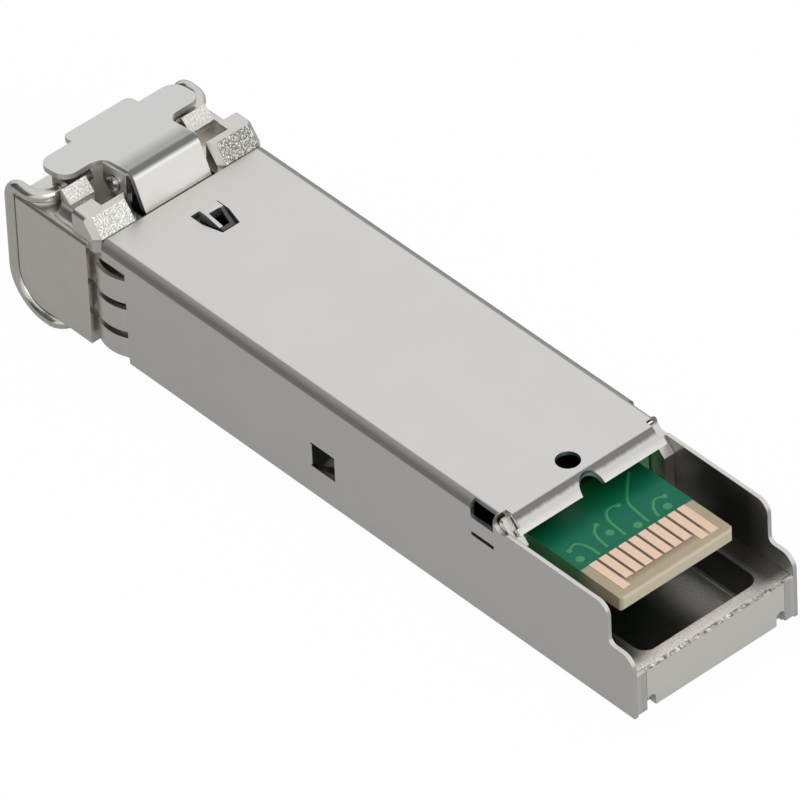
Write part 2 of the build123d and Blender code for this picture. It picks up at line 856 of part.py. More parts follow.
def passive(run, y, height):
    """Small two-ended part on the board's face, with raised end caps."""
    x, length, width = board_front_x + run, passive_length / 2, passive_width / 2
    top = board_top_z + height
    body = block(x - length, x + length, y - width, y + width, board_top_z, top)
    return body - block(
        x - length + passive_cap, x + length - passive_cap, y - width, y + width, top - passive_waist, top
    )


def passive_row(run, count, height):
    """Row of small parts across the board, from the transmit side."""
    first = passive_inset - board_half_width
    return [passive(run, first + i * passive_pitch, height) for i in range(count)]


def ceramic_capacitors():
    """Two rows of capacitors across the board."""
    front = passive_row(capacitor_front_run, capacitor_front_count, capacitor_height)
    return front + passive_row(capacitor_rear_run, capacitor_rear_count, capacitor_height)


def chip_resistors():
    """Thin resistors beside the memory chip and behind it."""
    runs = (resistor_front_run, resistor_middle_run, resistor_rear_run)
    return [part for run in runs for part in passive_row(run, resistor_row_count, resistor_height)]


def power_inductors():
    """Two wound inductors of the supply filter."""
    shapes = []
    half, x = inductor_size / 2, board_front_x + inductor_run
    for i in range(2):
        y = -inductor_side - i * inductor_pitch
        core = block(x - half, x + half, y - half, y + half, board_top_z, board_top_z + inductor_height)
        shapes.append(fillet(core.edges().filter_by(Axis.Z), inductor_corner_radius))
    return shapes


def thermal_pad():
    """Soft pad that carries heat from the driver chip to the cover."""
    half, x = driver_size / 2 - sheet, board_front_x + driver_run
    low = board_top_z + chip_height
    return block(x - half, x + half, -chip_side - half, -chip_side + half, low, cover_under_z)


def pivot_pin():
    """Steel pin that the lever rocks on."""
    half = ear_inner + plate + pin_end
    pin = rod_y(pivot_x, -half, half, pivot_z, pivot_diameter)
    return chamfer(pin.edges().filter_by(GeomType.CIRCLE), pin_chamfer)


def tilted(shape):
    """A shape of the lever turned down to the front, about the bend behind the plate."""
    bend = Axis((front_x + lever_bend_reach, 0, lever_top - plate / 2), (0, 1, 0))
    return shape.rotate(bend, -lever_slope_deg)


def under_plate():
    """Space under the middle of the lever's sloping plate."""
    bend_x = front_x + lever_bend_reach
    return tilted(block(front_x - past, bend_x + past, -half_nose, half_nose, 0, lever_top - plate / 2))


def lever_plate():
    """Top plate of the lever: two lobes, arch cuts and a front tongue."""
    bend_x, lobe_x = front_x + lever_bend_reach - lever_fold_radius, front_x + lever_lobe_rear_reach
    plate_x, tongue_x = front_x + lever_front_reach, front_x + lever_tongue_reach
    flap, lobe, tongue = lever_flap_half_width, lever_lobe_half_width, lever_tongue_half_width
    low = lever_top - plate
    lobes = block(plate_x, lobe_x, -lobe, lobe, low, lever_top)
    lobes = fillet(lobes.edges().filter_by(Axis.Z), lever_lobe_radius)
    front = block(tongue_x, plate_x + past, -tongue, tongue, low, lever_top)
    front = fillet(edges_near(front, Axis.Z, x=tongue_x), lever_tongue_radius)
    shape = lobes + front + block(plate_x, bend_x, -flap, flap, low, lever_top)
    r = lever_arch_radius
    web = block(lobe_x - touch, lobe_x + r, flap - touch, flap + r, low, lever_top)
    return shape + both_sides(web - Pos(lobe_x + r, flap + r, lever_top) * Cylinder(r, 4 * plate))


def lever_skirts():
    """Down-turned front edges of the lever's lobes."""
    x0, outer = front_x + lever_front_reach, lever_lobe_half_width - lever_lobe_radius
    low = lever_top - plate - lever_skirt_drop
    return both_sides(block(x0, x0 + plate, lever_skirt_inner, outer, low, lever_top - plate / 2))


def lever_flap():
    """Flap that slopes from the plate down to the tail under the cover."""
    bend_x, slope = front_x + lever_bend_reach, math.radians(lever_slope_deg)
    high, low = lever_top - plate / 2, tail_top - plate / 2
    start = (bend_x - past * math.cos(slope), 0, high - past * math.sin(slope))
    path = FilletPolyline(
        start, (bend_x, 0, high), (front_x + flap_foot_reach, 0, low),
        (front_x + tail_end_reach, 0, low), radius=[lever_fold_radius, lever_fold_radius],
    )
    start_plane = Plane(origin=path @ 0, x_dir=(0, 1, 0), z_dir=path % 0)
    outline = start_plane * Rectangle(2 * lever_flap_half_width, plate)
    return sweep(outline, path=path)


def locking_boss():
    """Boss on the lever's tail: a square front shoulder and a ramp that narrows to the rear."""
    base, high = tail_top - plate / 2, top_z + boss_height
    x0, x1, x2 = boss_front_x, boss_front_x + boss_flat, boss_front_x + boss_length
    side = [(x0, base), (x2, base), (x2, tail_top + boss_height / 2), (x1, high), (x0, high)]
    return plan_profile(boss_outline(0, 0), base, high) & side_profile(side, -half_body, half_body)


def boss_hollow():
    """Opening through the boss and the tail, between the boss's thin sloping flanks."""
    x1, x2 = boss_front_x + boss_flat, boss_front_x + boss_length - boss_wall
    wide, narrow = boss_half_width - boss_wall, boss_rear_half_width - boss_wall
    return plan_profile([(x1, -wide), (x2, -narrow), (x2, narrow), (x1, wide)], tail_top - past, top_z + past)


def lever_ears():
    """Ears folded down from the lever's waist, bored for the pivot pin."""
    high = lever_top - plate / 2
    low, half = high - ear_depth, ear_length / 2
    ear = block(pivot_x - half, pivot_x + half, ear_inner, ear_inner + plate, low, high)
    ear = fillet(edges_near(ear, Axis.Y, z=low), ear_corner_radius)
    diameter = pivot_diameter + 2 * pivot_clearance
    bore = rod_y(pivot_x, ear_inner - past, ear_inner + past, pivot_z, diameter)
    return both_sides(ear - bore) & under_plate()


def cam_tabs():
    """Tabs under the lever's plate that the bail's cranked ends push up."""
    middle, half = (block_inner + ear_inner + plate) / 2, cam_tab_width / 2
    tabs = both_sides(block(
        bail_pivot_x - plate / 2, bail_pivot_x + plate / 2, middle - half, middle + half,
        top_z + cam_tab_rise, lever_top,
    ))
    return tabs & under_plate()


def latch_lever():
    """Stamped rocking lever with plate, flap, tail, boss, ears and cam tabs."""
    top = tilted(lever_plate() + lever_skirts())
    return top + lever_flap() + lever_ears() + cam_tabs() + locking_boss() - boss_hollow()


def bail_route():
    """Corner points of the bail's wire on one side, from the pivot to the crossbar."""
    y, bar_x = bail_half_width, front_x + bail_bar_reach
    arm_x, bar_z = front_x + wire / 2, wire / 2
    return [
        (bail_pivot_x, block_inner, bail_pivot_z), (bail_pivot_x, y, bail_pivot_z),
        (arm_x, y, bail_pivot_z), (arm_x, y, bar_z), (bar_x, y, bar_z),
    ]


def bail_crank():
    """Cranked inner end of the bail, which pushes the lever's tab up."""
    inner, outer = ear_inner + plate + crank_gap, block_inner - crank_gap
    x, half = bail_pivot_x - crank_offset, wire / 2
    crank = rod_y(x, inner, outer, bail_pivot_z, wire)
    crank += rod_y(bail_pivot_x, inner, block_inner + touch, bail_pivot_z, wire)
    return crank + block(x, bail_pivot_x, inner, outer, bail_pivot_z - half, bail_pivot_z + half)


def bail_wire():
    """Bail bent from round wire, with a crank at each inner end that works the lever."""
    near_side = bail_route()
    far_side = [(x, -y, z) for x, y, z in reversed(near_side)]
    bottom_bend = nose_corner_radius + nose_front_gap + wire / 2
    bends = [bail_entry_bend, bail_top_bend, bottom_bend, bail_bar_bend]
    path = FilletPolyline(*near_side, *far_side, radius=bends + bends[::-1])
    outline = Plane(origin=path @ 0, z_dir=path % 0) * Circle(wire / 2)
    return sweep(outline, path=path) + both_sides(bail_crank())


def return_spring():
    """Leaf spring that lies on the receptacle and lifts the lever's tail."""
    x0 = pivot_x + pivot_diameter + sheet
    x1, t = x0 + spring_foot_length, spring_thickness
    x2 = x1 + spring_rise_run
    x3 = x2 + spring_foot_length
    low, high = insert_high_z + component_gap, tail_top - plate - component_gap
    points = [
        (x0, low), (x1, low), (x2, high - t), (x3, high - t),
        (x3, high), (x2, high), (x1, low + t), (x0, low + t),
    ]
    return side_profile(points, -spring_half_width, spring_half_width)


def save(name, shape):
    """Writes one sub-part, joining a list of solids as a group."""
    if isinstance(shape, list):
        shape = Compound(children=[solid for item in shape for solid in item.solids()])
    export_step(shape, f"parts/{name}.step")


os.makedirs("parts", exist_ok=True)
save("base_housing", base_housing())
save("shell_cover", shell_cover())
save("ground_spring_strip", ground_spring_strip())
save("port_insert", port_insert())
save("latch_lever", latch_lever())
save("pivot_pin", pivot_pin())
save("return_spring", return_spring())
save("bail_wire", bail_wire())
save("circuit_board", circuit_board())
save("contact_pads", contact_pads())
save("driver_chip", chip(driver_run, -chip_side, driver_size, driver_size))
save("amplifier_chip", chip(amplifier_run, chip_side, amplifier_size, amplifier_size))
save("control_chip", chip(control_run, 0, control_size, control_size, above=False))
save("memory_chip", memory_chip())
save("ceramic_capacitors", ceramic_capacitors())
save("chip_resistors", chip_resistors())
save("power_inductors", power_inductors())
save("thermal_pad", thermal_pad())
save("transmit_barrel", optical_barrel(-1))
save("receive_barrel", optical_barrel(1))
save("transmit_can", optical_can(-1))
save("receive_can", optical_can(1))
save("can_leads", can_leads(-1) + can_leads(1))
save("transmit_flex", flex_circuit(-1))
save("receive_flex", flex_circuit(1))
save("ceramic_sleeves", ceramic_sleeves())
save("fibre_stubs", fibre_stubs())
save("optics_clamp", optics_clamp())
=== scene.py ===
"""Looks of a small form-factor pluggable optical transceiver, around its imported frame.

Everything is in metres in the frame's own axes: +X to the card-edge end, +Y across
the module, +Z up to the latch side. Sizes in the dataclasses below are millimetres,
because that is how a maker reads them, and MM turns them into metres. Those whose
names end in _m are metres.
"""

import logging
import math
from dataclasses import dataclass, field
from enum import Enum
from typing import Any

import bmesh
import bpy
import numpy as np
from mathutils import Matrix, Vector


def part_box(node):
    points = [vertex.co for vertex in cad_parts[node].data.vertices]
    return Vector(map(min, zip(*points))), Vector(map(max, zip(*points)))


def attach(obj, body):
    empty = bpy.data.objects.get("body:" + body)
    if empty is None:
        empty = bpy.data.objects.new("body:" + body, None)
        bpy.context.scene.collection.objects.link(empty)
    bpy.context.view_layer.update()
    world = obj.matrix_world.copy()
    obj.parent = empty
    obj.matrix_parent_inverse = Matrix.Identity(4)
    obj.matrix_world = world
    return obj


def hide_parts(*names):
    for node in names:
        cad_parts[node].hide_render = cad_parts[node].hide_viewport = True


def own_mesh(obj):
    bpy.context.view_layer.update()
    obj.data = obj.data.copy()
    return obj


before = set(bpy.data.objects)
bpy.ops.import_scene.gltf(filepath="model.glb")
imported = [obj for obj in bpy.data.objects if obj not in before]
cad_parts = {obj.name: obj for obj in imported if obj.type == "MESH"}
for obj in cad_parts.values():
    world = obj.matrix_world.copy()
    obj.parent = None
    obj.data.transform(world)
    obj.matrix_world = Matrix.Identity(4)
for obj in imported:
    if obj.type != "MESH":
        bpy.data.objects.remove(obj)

LOG = logging.getLogger("transceiver")
MM = 0.001
Colour = tuple[float, float, float]
Triple = tuple[float, float, float]


class Body(Enum):
    """Bodies of the frame that the new pieces ride on."""

    HOUSING = "housing"
    LEVER = "lever"


class Slot(Enum):
    """Material slots of the record that the new pieces belong to."""

    CAST = "cast_metal"
    COVER = "cover_sheet"
    LEVER = "lever_steel"
    BOARD = "board_laminate"
    STRIP = "spring_strip"


# Node arithmetic

# A Mix node lists its number and vector sockets first, and these are the colour's.
MIX_FIRST = 6
MIX_SECOND = 7
MIX_RESULT = 2


class Wire:
    """One output of a shader node, with arithmetic that adds Math nodes."""

    def __init__(self, graph: "Graph", socket: bpy.types.NodeSocket) -> None:
        """Keep the graph and the socket.

        Args:
            graph: The node tree's builder.
            socket: The output that this wire stands for.
        """
        self.graph = graph
        self.socket = socket

    def _math(self, operation: str, first: Any, second: Any = 0.0, clamp: bool = False) -> "Wire":
        """Add one Math node and return its output."""
        return self.graph.node(
            "ShaderNodeMath", {"operation": operation, "use_clamp": clamp}, {0: first, 1: second}
        )

    def __add__(self, other: Any) -> "Wire":
        """Sum."""
        return self._math("ADD", self, other)

    def __sub__(self, other: Any) -> "Wire":
        """Difference."""
        return self._math("SUBTRACT", self, other)

    def __rsub__(self, other: Any) -> "Wire":
        """Difference with a number on the left."""
        return self._math("SUBTRACT", other, self)

    def __mul__(self, other: Any) -> "Wire":
        """Product."""
        return self._math("MULTIPLY", self, other)

    def clamped(self) -> "Wire":
        """The value held between 0 and 1."""
        return self._math("ADD", self, 0.0, clamp=True)

    def size(self) -> "Wire":
        """The value without its sign."""
        return self._math("ABSOLUTE", self)

    def above(self, edge: float, soft: float) -> "Wire":
        """A mask that rises from 0 to 1 over a soft width centred on an edge.

        Args:
            edge: Value at which the mask is one half.
            soft: Width over which it rises.

        Returns:
            The mask, held between 0 and 1.
        """
        return ((self - (edge - soft / 2)) * (1.0 / soft)).clamped()

    def below(self, edge: float, soft: float) -> "Wire":
        """The opposite of above."""
        return 1.0 - self.above(edge, soft)

    def past_mm(self, edge_mm: float, soft_mm: float) -> "Wire":
        """A mask like above, for a length in metres and an edge in millimetres."""
        return self.above(edge_mm * MM, soft_mm * MM)

    def before_mm(self, edge_mm: float, soft_mm: float) -> "Wire":
        """The opposite of past_mm."""
        return 1.0 - self.past_mm(edge_mm, soft_mm)


class Graph:
    """Builder of one shader node tree."""

    def __init__(self, tree: bpy.types.NodeTree) -> None:
        """Start from an empty tree.

        Args:
            tree: The material's or world's node tree.
        """
        self.tree = tree
        tree.nodes.clear()

    def node(self, kind: str, settings: dict[str, Any], inputs: dict[Any, Any], output: Any = 0) -> Wire:
        """Add one node of any type.

        Args:
            kind: Node type.
            settings: Properties set before the inputs.
            inputs: Values or wires by input name or number.
            output: Name or number of the output to return.

        Returns:
            The chosen output.
        """
        made = self.tree.nodes.new(kind)
        for name, value in settings.items():
            setattr(made, name, value)
        for name, value in inputs.items():
            if isinstance(value, Wire):
                self.tree.links.new(value.socket, made.inputs[name])
            else:
                made.inputs[name].default_value = value
        return Wire(self, made.outputs[output]) if made.outputs else Wire(self, None)

    def place(self, stretch: Triple = (1.0, 1.0, 1.0)) -> Wire:
        """Object coordinates, stretched along the axes."""
        plain = self.node("ShaderNodeTexCoord", {}, {}, "Object")
        if stretch == (1.0, 1.0, 1.0):
            return plain
        return self.node("ShaderNodeMapping", {}, {"Vector": plain, "Scale": stretch})

    def axis(self, vector: Wire, name: str) -> Wire:
        """One component of a vector, by its letter."""
        return self.node("ShaderNodeSeparateXYZ", {}, {0: vector}, name)

    def axes(self) -> tuple[Wire, Wire, Wire]:
        """Place along X, Y and Z in the object's own axes."""
        place = self.place()
        return self.axis(place, "X"), self.axis(place, "Y"), self.axis(place, "Z")

    def facing(self, name: str, smooth: bool = False) -> Wire:
        """How far the surface faces along an axis, from its flat faces or smoothly."""
        normal = self.node("ShaderNodeNewGeometry", {}, {}, "Normal" if smooth else "True Normal")
        return self.axis(normal, name)

    def ray(self, kind: str) -> Wire:
        """Whether a ray is of one kind, such as Camera or Glossy."""
        return self.node("ShaderNodeLightPath", {}, {}, f"Is {kind} Ray")

    def noise(self, vector: Wire, size_mm: float, detail: float, rough: float = 0.5) -> Wire:
        """Noise whose grains are about a given size.

        Args:
            vector: Where it is read.
            size_mm: Size of a grain in millimetres.
            detail: Octaves.
            rough: How much the finer octaves count.

        Returns:
            Values near one half.
        """
        return self.node(
            "ShaderNodeTexNoise", {},
            {"Vector": vector, "Scale": 1.0 / (size_mm * MM), "Detail": detail, "Roughness": rough},
        )

    def mix(self, factor: Any, first: Any, second: Any) -> Wire:
        """Colour between two others.

        Args:
            factor: Mask or number.
            first: Colour where the factor is 0.
            second: Colour where it is 1.

        Returns:
            The mixed colour.
        """
        made = self.tree.nodes.new("ShaderNodeMix")
        made.data_type = "RGBA"
        sockets = (made.inputs["Factor"], made.inputs[MIX_FIRST], made.inputs[MIX_SECOND])
        for socket, value in zip(sockets, (factor, first, second)):
            if isinstance(value, Wire):
                self.tree.links.new(value.socket, socket)
            elif socket.type == "RGBA":
                socket.default_value = (*value, 1.0)
            else:
                socket.default_value = value
        return Wire(self, made.outputs[MIX_RESULT])

    def bump(self, height: Wire, depth_m: float) -> Wire:
        """Normal of a surface whose height varies by up to a depth."""
        return self.node("ShaderNodeBump", {}, {"Strength": 1.0, "Distance": depth_m, "Height": height})

    def surface(self, inputs: dict[str, Any]) -> None:
        """Finish the tree with a Principled surface and its output."""
        shader = self.node("ShaderNodeBsdfPrincipled", {}, inputs)
        self.node("ShaderNodeOutputMaterial", {}, {"Surface": shader})


# Finishes

BLACK: Colour = (0.0, 0.0, 0.0)
NOISE_MIDDLE = 0.5


def toned(colour: Colour, share: float) -> Colour:
    """A colour made darker or brighter by one share."""
    return tuple(channel * share for channel in colour)


@dataclass(frozen=True)
class Finish:
    """A surface finish: its colour, gloss, mottling and fine relief.

    The colour is mottled between two shades by coarse noise, the roughness by the
    same noise, and the relief is fine noise, which may be stretched into a grain.
    """

    name: str
    colour: Colour
    roughness: float
    metallic: float = 0.0
    shade: float = 0.92
    mottle_mm: float = 1.5
    mottle_octaves: float = 3.0
    mottle_soft: float = 0.5
    grain_mm: float = 0.15
    grain_octaves: float = 2.0
    grain_depth_mm: float = 0.004
    grain_stretch: Triple = (1.0, 1.0, 1.0)
    roughness_spread: float = 0.06
    coat: float = 0.0
    specular: float = 0.5

    def shader_inputs(self, graph: Graph) -> dict[str, Any]:
        """Values and wires for the Principled shader.

        Args:
            graph: Builder of the material's tree.

        Returns:
            Inputs by name.
        """
        mottle = graph.noise(graph.place(), self.mottle_mm, self.mottle_octaves)
        grain = graph.noise(graph.place(self.grain_stretch), self.grain_mm, self.grain_octaves)
        light = mottle.above(NOISE_MIDDLE, self.mottle_soft)
        return {
            "Base Color": graph.mix(light, toned(self.colour, self.shade), self.colour),
            "Roughness": (mottle - NOISE_MIDDLE) * (2 * self.roughness_spread) + self.roughness,
            "Metallic": self.metallic,
            "Coat Weight": self.coat,
            "Specular IOR Level": self.specular,
            "Normal": graph.bump(grain, self.grain_depth_mm * MM),
        }

    def build(self) -> bpy.types.Material:
        """Make the material."""
        material = bpy.data.materials.new(self.name)
        material.use_nodes = True
        graph = Graph(material.node_tree)
        graph.surface(self.shader_inputs(graph))
        return material


@dataclass(frozen=True)
class CoverFinish(Finish):
    """Rolled sheet, with a rougher fold along each long edge and a brushed lip.

    The folds carry painted shade, and the lip carries painted shade in its bend and painted highlight below
    it. The insides of the wings have painted light near the card end and painted shade that darkens them
    towards the lip. The snap tongue, which lies inwards of the side face, has painted shade that is darkest
    beside its root.
    """

    soft_mm: float = 0.1
    fold_low_mm: float = 8.95
    fold_outer_mm: float = 6.15
    fold_soft_mm: float = 0.12
    # Painted shade on the folds: their colour is darkened, while their added roughness is real.
    fold_painted_shade: float = 0.47
    fold_roughness: float = 0.24
    lip_mm: float = 16.72
    lip_low_mm: float = 8.3
    lip_bend_mm: float = 9.30
    lip_roughness: float = 0.10
    # Painted shade in the lip's bend and painted highlight below it, in bands whose edges the brushing frays.
    lip_bend_painted_shade: Colour = (0.190, 0.185, 0.178)
    lip_middle_painted_shade: Colour = (0.560, 0.553, 0.540)
    lip_middle_fall_mm: float = 0.07
    lip_middle_soft_mm: float = 0.16
    lip_painted_highlight: Colour = (0.680, 0.670, 0.655)
    lip_bright_fall_mm: float = 0.46
    lip_bright_soft_mm: float = 0.30
    brush_mm: float = 1.1
    brush_octaves: float = 4.0
    brush_fineness: float = 0.6
    brush_stretch: Triple = (1.0, 5.0, 1.0)
    brush_reach_mm: float = 0.22
    wing_inside_mm: float = 6.43
    wing_soft_mm: float = 0.03
    # Painted light on the wings' insides near the card end, and painted shade deeper in towards the lip.
    wing_painted_light: float = 1.10
    wing_deep_mm: float = 25.2
    wing_deep_soft_mm: float = 2.0
    wing_deep_painted_shade: float = 0.28
    snap_front_mm: float = -0.55
    snap_length_mm: float = 2.15
    snap_low_mm: float = 3.25
    snap_high_mm: float = 5.15
    snap_outer_mm: float = 6.67
    snap_soft_mm: float = 0.03
    snap_rim_share: float = 0.02
    snap_slant: float = 0.57
    snap_lit_share: float = 0.95
    snap_lit_soft: float = 0.36
    # Painted shade on the snap tongue, darkest at its root and lighter at its tip.
    snap_root_painted_shade: float = 0.02
    snap_tip_painted_shade: float = 0.42

    def _brushed_lip_painted_shade(self, graph: Graph, up: Wire) -> Wire:
        """Colour of the lip: painted shade in the bend, then brighter in two uneven steps towards a painted
        highlight, frayed by the brushing.
        """
        stretched = graph.place(self.brush_stretch)
        brush = graph.noise(stretched, self.brush_mm, self.brush_octaves, self.brush_fineness)
        fall = (up * (-1.0 / MM) + self.lip_bend_mm) + (brush - NOISE_MIDDLE) * self.brush_reach_mm
        middle = fall.above(self.lip_middle_fall_mm, self.lip_middle_soft_mm)
        bright = fall.above(self.lip_bright_fall_mm, self.lip_bright_soft_mm)
        return graph.mix(bright, graph.mix(middle, self.lip_bend_painted_shade, self.lip_middle_painted_shade), self.lip_painted_highlight)

    def _wing(self, graph: Graph, along: Wire) -> Wire:
        """Colour of the wings' insides: painted light, and painted shade towards the lip."""
        shallow_painted_light = toned(self.colour, self.wing_painted_light)
        deep_painted_shade = toned(shallow_painted_light, self.wing_deep_painted_shade)
        return graph.mix(along.before_mm(self.wing_deep_mm, self.wing_deep_soft_mm), shallow_painted_light, deep_painted_shade)

    def _tongue(self, graph: Graph, along: Wire, across: Wire, up: Wire) -> tuple[Wire, Wire]:
        """Mask and colour of the painted shade on the snap tongue, lighter on the slant away from its root.
        """
        height_mm = self.snap_high_mm - self.snap_low_mm
        share = (along - self.snap_front_mm * MM) * (1.0 / (self.snap_length_mm * MM))
        drop = (up * -1.0 + self.snap_high_mm * MM) * (1.0 / (height_mm * MM))
        mask = across.before_mm(self.snap_outer_mm, self.snap_soft_mm)
        for run in (share, drop):
            mask = mask * run.above(0.0, self.snap_rim_share) * run.below(1.0, self.snap_rim_share)
        lit = (share + drop * self.snap_slant).above(self.snap_lit_share, self.snap_lit_soft)
        root, tip = toned(self.colour, self.snap_root_painted_shade), toned(self.colour, self.snap_tip_painted_shade)
        return mask, graph.mix(lit, root, tip)

    def shader_inputs(self, graph: Graph) -> dict[str, Any]:
        """Add the folds, the lip, the wings' insides and the tongue to the plain finish."""
        inputs = super().shader_inputs(graph)
        along, side, up = graph.axes()
        across = side.size()
        fold = across.past_mm(self.fold_outer_mm, self.fold_soft_mm)
        fold = fold * up.past_mm(self.fold_low_mm, self.fold_soft_mm)
        beyond = along.past_mm(self.lip_mm, self.soft_mm)
        lip = beyond * up.past_mm(self.lip_low_mm, self.soft_mm)
        lip = lip * across.before_mm(self.fold_outer_mm, self.soft_mm)
        inner = across.before_mm(self.wing_inside_mm, self.wing_soft_mm)
        inner = inner * across.past_mm(self.fold_outer_mm, self.soft_mm) * beyond
        tongue, tongue_painted_shade = self._tongue(graph, along, across, up)
        # Painted shade on the folds, painted shade and highlight on the lip, painted light and shade inside
        # the wings and painted shade on the tongue.
        coloured = graph.mix(fold, inputs["Base Color"], toned(self.colour, self.fold_painted_shade))
        coloured = graph.mix(lip, coloured, self._brushed_lip_painted_shade(graph, up))
        coloured = graph.mix(inner, coloured, self._wing(graph, along))
        inputs["Base Color"] = graph.mix(tongue, coloured, tongue_painted_shade)
        inputs["Roughness"] = inputs["Roughness"] + fold * self.fold_roughness + lip * self.lip_roughness
        return inputs


@dataclass(frozen=True)
class CastFinish(Finish):
    """Plated die casting: smooth skin, and coarse grain with painted glints on the faces cut at the gate.

    The end wall is brightened with painted light, and its upper edge keeps a row of nicks with painted
    glints. The tray's rim is grained, with painted light on its grain, and has painted shade in its two
    strips beside the wings. The well under the card has painted shade, apart from painted light on one side
    of its floor, and the pocket behind the cover's side slots is painted near black as shade. The far block's
    grain has painted shade.
    """

    soft_mm: float = 0.1
    crisp_mm: float = 0.05
    gate_rear_mm: float = -18.5
    gate_low_mm: float = 9.5
    gate_facing: float = 0.64
    gate_facing_soft: float = 0.08
    gate_grain_mm: float = 0.12
    gate_octaves: float = 3.0
    gate_cell_share: float = 1.2
    gate_depth_mm: float = 0.045
    gate_roughness: float = 0.08
    # Painted glints on the gate's grain, and painted shade on the far block.
    gate_painted_glint_level: float = 0.54
    gate_painted_glint_soft: float = 0.16
    gate_dark_near: Colour = (0.54, 0.525, 0.50)
    gate_far_painted_shade: Colour = (0.22, 0.21, 0.195)
    gate_painted_glint_near: Colour = (0.98, 0.97, 0.95)
    gate_painted_glint_far: Colour = (0.82, 0.81, 0.78)
    platform_rear_mm: float = -21.5
    platform_dark: Colour = (0.58, 0.565, 0.54)
    platform_flattening: float = 0.6
    grain_fineness: float = 0.7
    cell_depth: float = 0.8
    end_mm: float = 27.95
    end_facing: float = 0.9
    end_facing_soft: float = 0.05
    # Painted light on the end wall.
    end_painted_light: float = 1.37
    nick_mm: float = 0.32
    nick_stretch: Triple = (1.0, 1.0, 0.3)
    nick_edge_mm: float = 4.28
    nick_edge_half_mm: float = 0.034
    nick_edge_soft_mm: float = 0.02
    nick_dark: Colour = (0.24, 0.23, 0.21)
    nick_middle: Colour = (0.62, 0.61, 0.59)
    nick_middle_level: float = 0.45
    nick_middle_soft: float = 0.10
    # Painted glints on the nicks.
    nick_painted_glint: Colour = (1.0, 0.99, 0.97)
    nick_bright_level: float = 0.58
    nick_bright_soft: float = 0.05
    rim_mm: float = 20.5
    rim_soft_mm: float = 1.0
    rim_rising: float = 0.5
    rim_rising_soft: float = 0.2
    rim_grain_soft: float = 0.4
    # Painted light on the rim's grain.
    rim_painted_light: float = 1.50
    rim_roughness: float = 0.06
    rim_depth: float = 0.25
    strip_half_mm: float = 4.4
    strip_soft_mm: float = 1.6
    strip_skew: float = 0.045
    # Painted shade in the rim's strips beside the wings: place, softness and share of each step.
    strip_painted_shades: tuple[Triple, ...] = ((27.5, 1.0, 0.22), (26.0, 3.0, 0.45))
    well_top_mm: float = 4.25
    well_end_mm: float = 27.2
    well_half_mm: float = 4.85
    well_soft_mm: float = 0.06
    # Painted shade in the well, and painted light on one side of its floor.
    well_painted_shade: float = 0.28
    well_painted_light: float = 1.45
    well_lit_mm: float = 1.8
    well_lit_soft_mm: float = 3.2
    well_wall_rising: float = 0.5
    well_wall_soft: float = 0.3
    far_soft_mm: float = 1.0
    pocket_front_mm: float = 13.8
    pocket_rear_mm: float = 16.3
    pocket_inner_mm: float = 5.80
    # Painted shade: the pocket behind the side slots is painted near black.
    pocket_painted_shade: Colour = (0.012, 0.012, 0.011)

    def _gate_colour(self, graph: Graph, along: Wire, side: Wire, fine: Wire) -> Wire:
        """Grain of the faces cut at the gate, with painted glints, and painted shade on the far block."""
        far = side.past_mm(0.0, self.far_soft_mm)
        platform = along.before_mm(self.platform_rear_mm, self.soft_mm)
        dark = graph.mix(far, self.gate_dark_near, self.gate_far_painted_shade)
        dark = graph.mix(platform, dark, self.platform_dark)
        bright = graph.mix(far, self.gate_painted_glint_near, self.gate_painted_glint_far)
        return graph.mix(fine.above(self.gate_painted_glint_level, self.gate_painted_glint_soft), dark, bright)

    def _rim_colour(self, graph: Graph, along: Wire, side: Wire, fine: Wire) -> Wire:
        """Grained rim with painted light on its grain, whose side strips fall off in two steps of painted
        shade away from the end wall.
        """
        grain = fine.above(NOISE_MIDDLE, self.rim_grain_soft)
        coloured = graph.mix(grain, self.colour, toned(self.colour, self.rim_painted_light))
        skewed = along - side * self.strip_skew
        strip = side.size().past_mm(self.strip_half_mm, self.strip_soft_mm)
        # Each step paints shade over the strip.
        for place_mm, soft_mm, shade in self.strip_painted_shades:
            coloured = graph.mix(strip * skewed.before_mm(place_mm, soft_mm) * (1.0 - shade), coloured, BLACK)
        return coloured

    def _well(self, graph: Graph, along: Wire, side: Wire, up: Wire, rising: Wire) -> tuple[Wire, Wire]:
        """Mask and colour of the painted shade in the well, whose floor has painted light on one side only.
        """
        mask = up.before_mm(self.well_top_mm, self.well_soft_mm)
        mask = mask * along.before_mm(self.well_end_mm, self.well_soft_mm)
        mask = mask * along.past_mm(self.rim_mm, self.rim_soft_mm)
        mask = mask * side.size().before_mm(self.well_half_mm, self.well_soft_mm)
        wall = rising.below(self.well_wall_rising, self.well_wall_soft)
        unlit = (wall + side.before_mm(self.well_lit_mm, self.well_lit_soft_mm)).clamped()
        lit, dim = toned(self.colour, self.well_painted_light), toned(self.colour, self.well_painted_shade)
        return mask, graph.mix(unlit, lit, dim)

    def _nicks(self, graph: Graph, along: Wire, up: Wire) -> tuple[Wire, Wire]:
        """Mask and colour of the nicked edge over the end wall, with painted glints."""
        stretched = graph.place(self.nick_stretch)
        nick = graph.noise(stretched, self.nick_mm, self.grain_octaves, self.grain_fineness)
        middle = nick.above(self.nick_middle_level, self.nick_middle_soft)
        bright = nick.above(self.nick_bright_level, self.nick_bright_soft)
        coloured = graph.mix(bright, graph.mix(middle, self.nick_dark, self.nick_middle), self.nick_painted_glint)
        level = (up - self.nick_edge_mm * MM).size()
        edge = level.before_mm(self.nick_edge_half_mm, self.nick_edge_soft_mm)
        return edge * along.past_mm(self.end_mm, self.crisp_mm), coloured

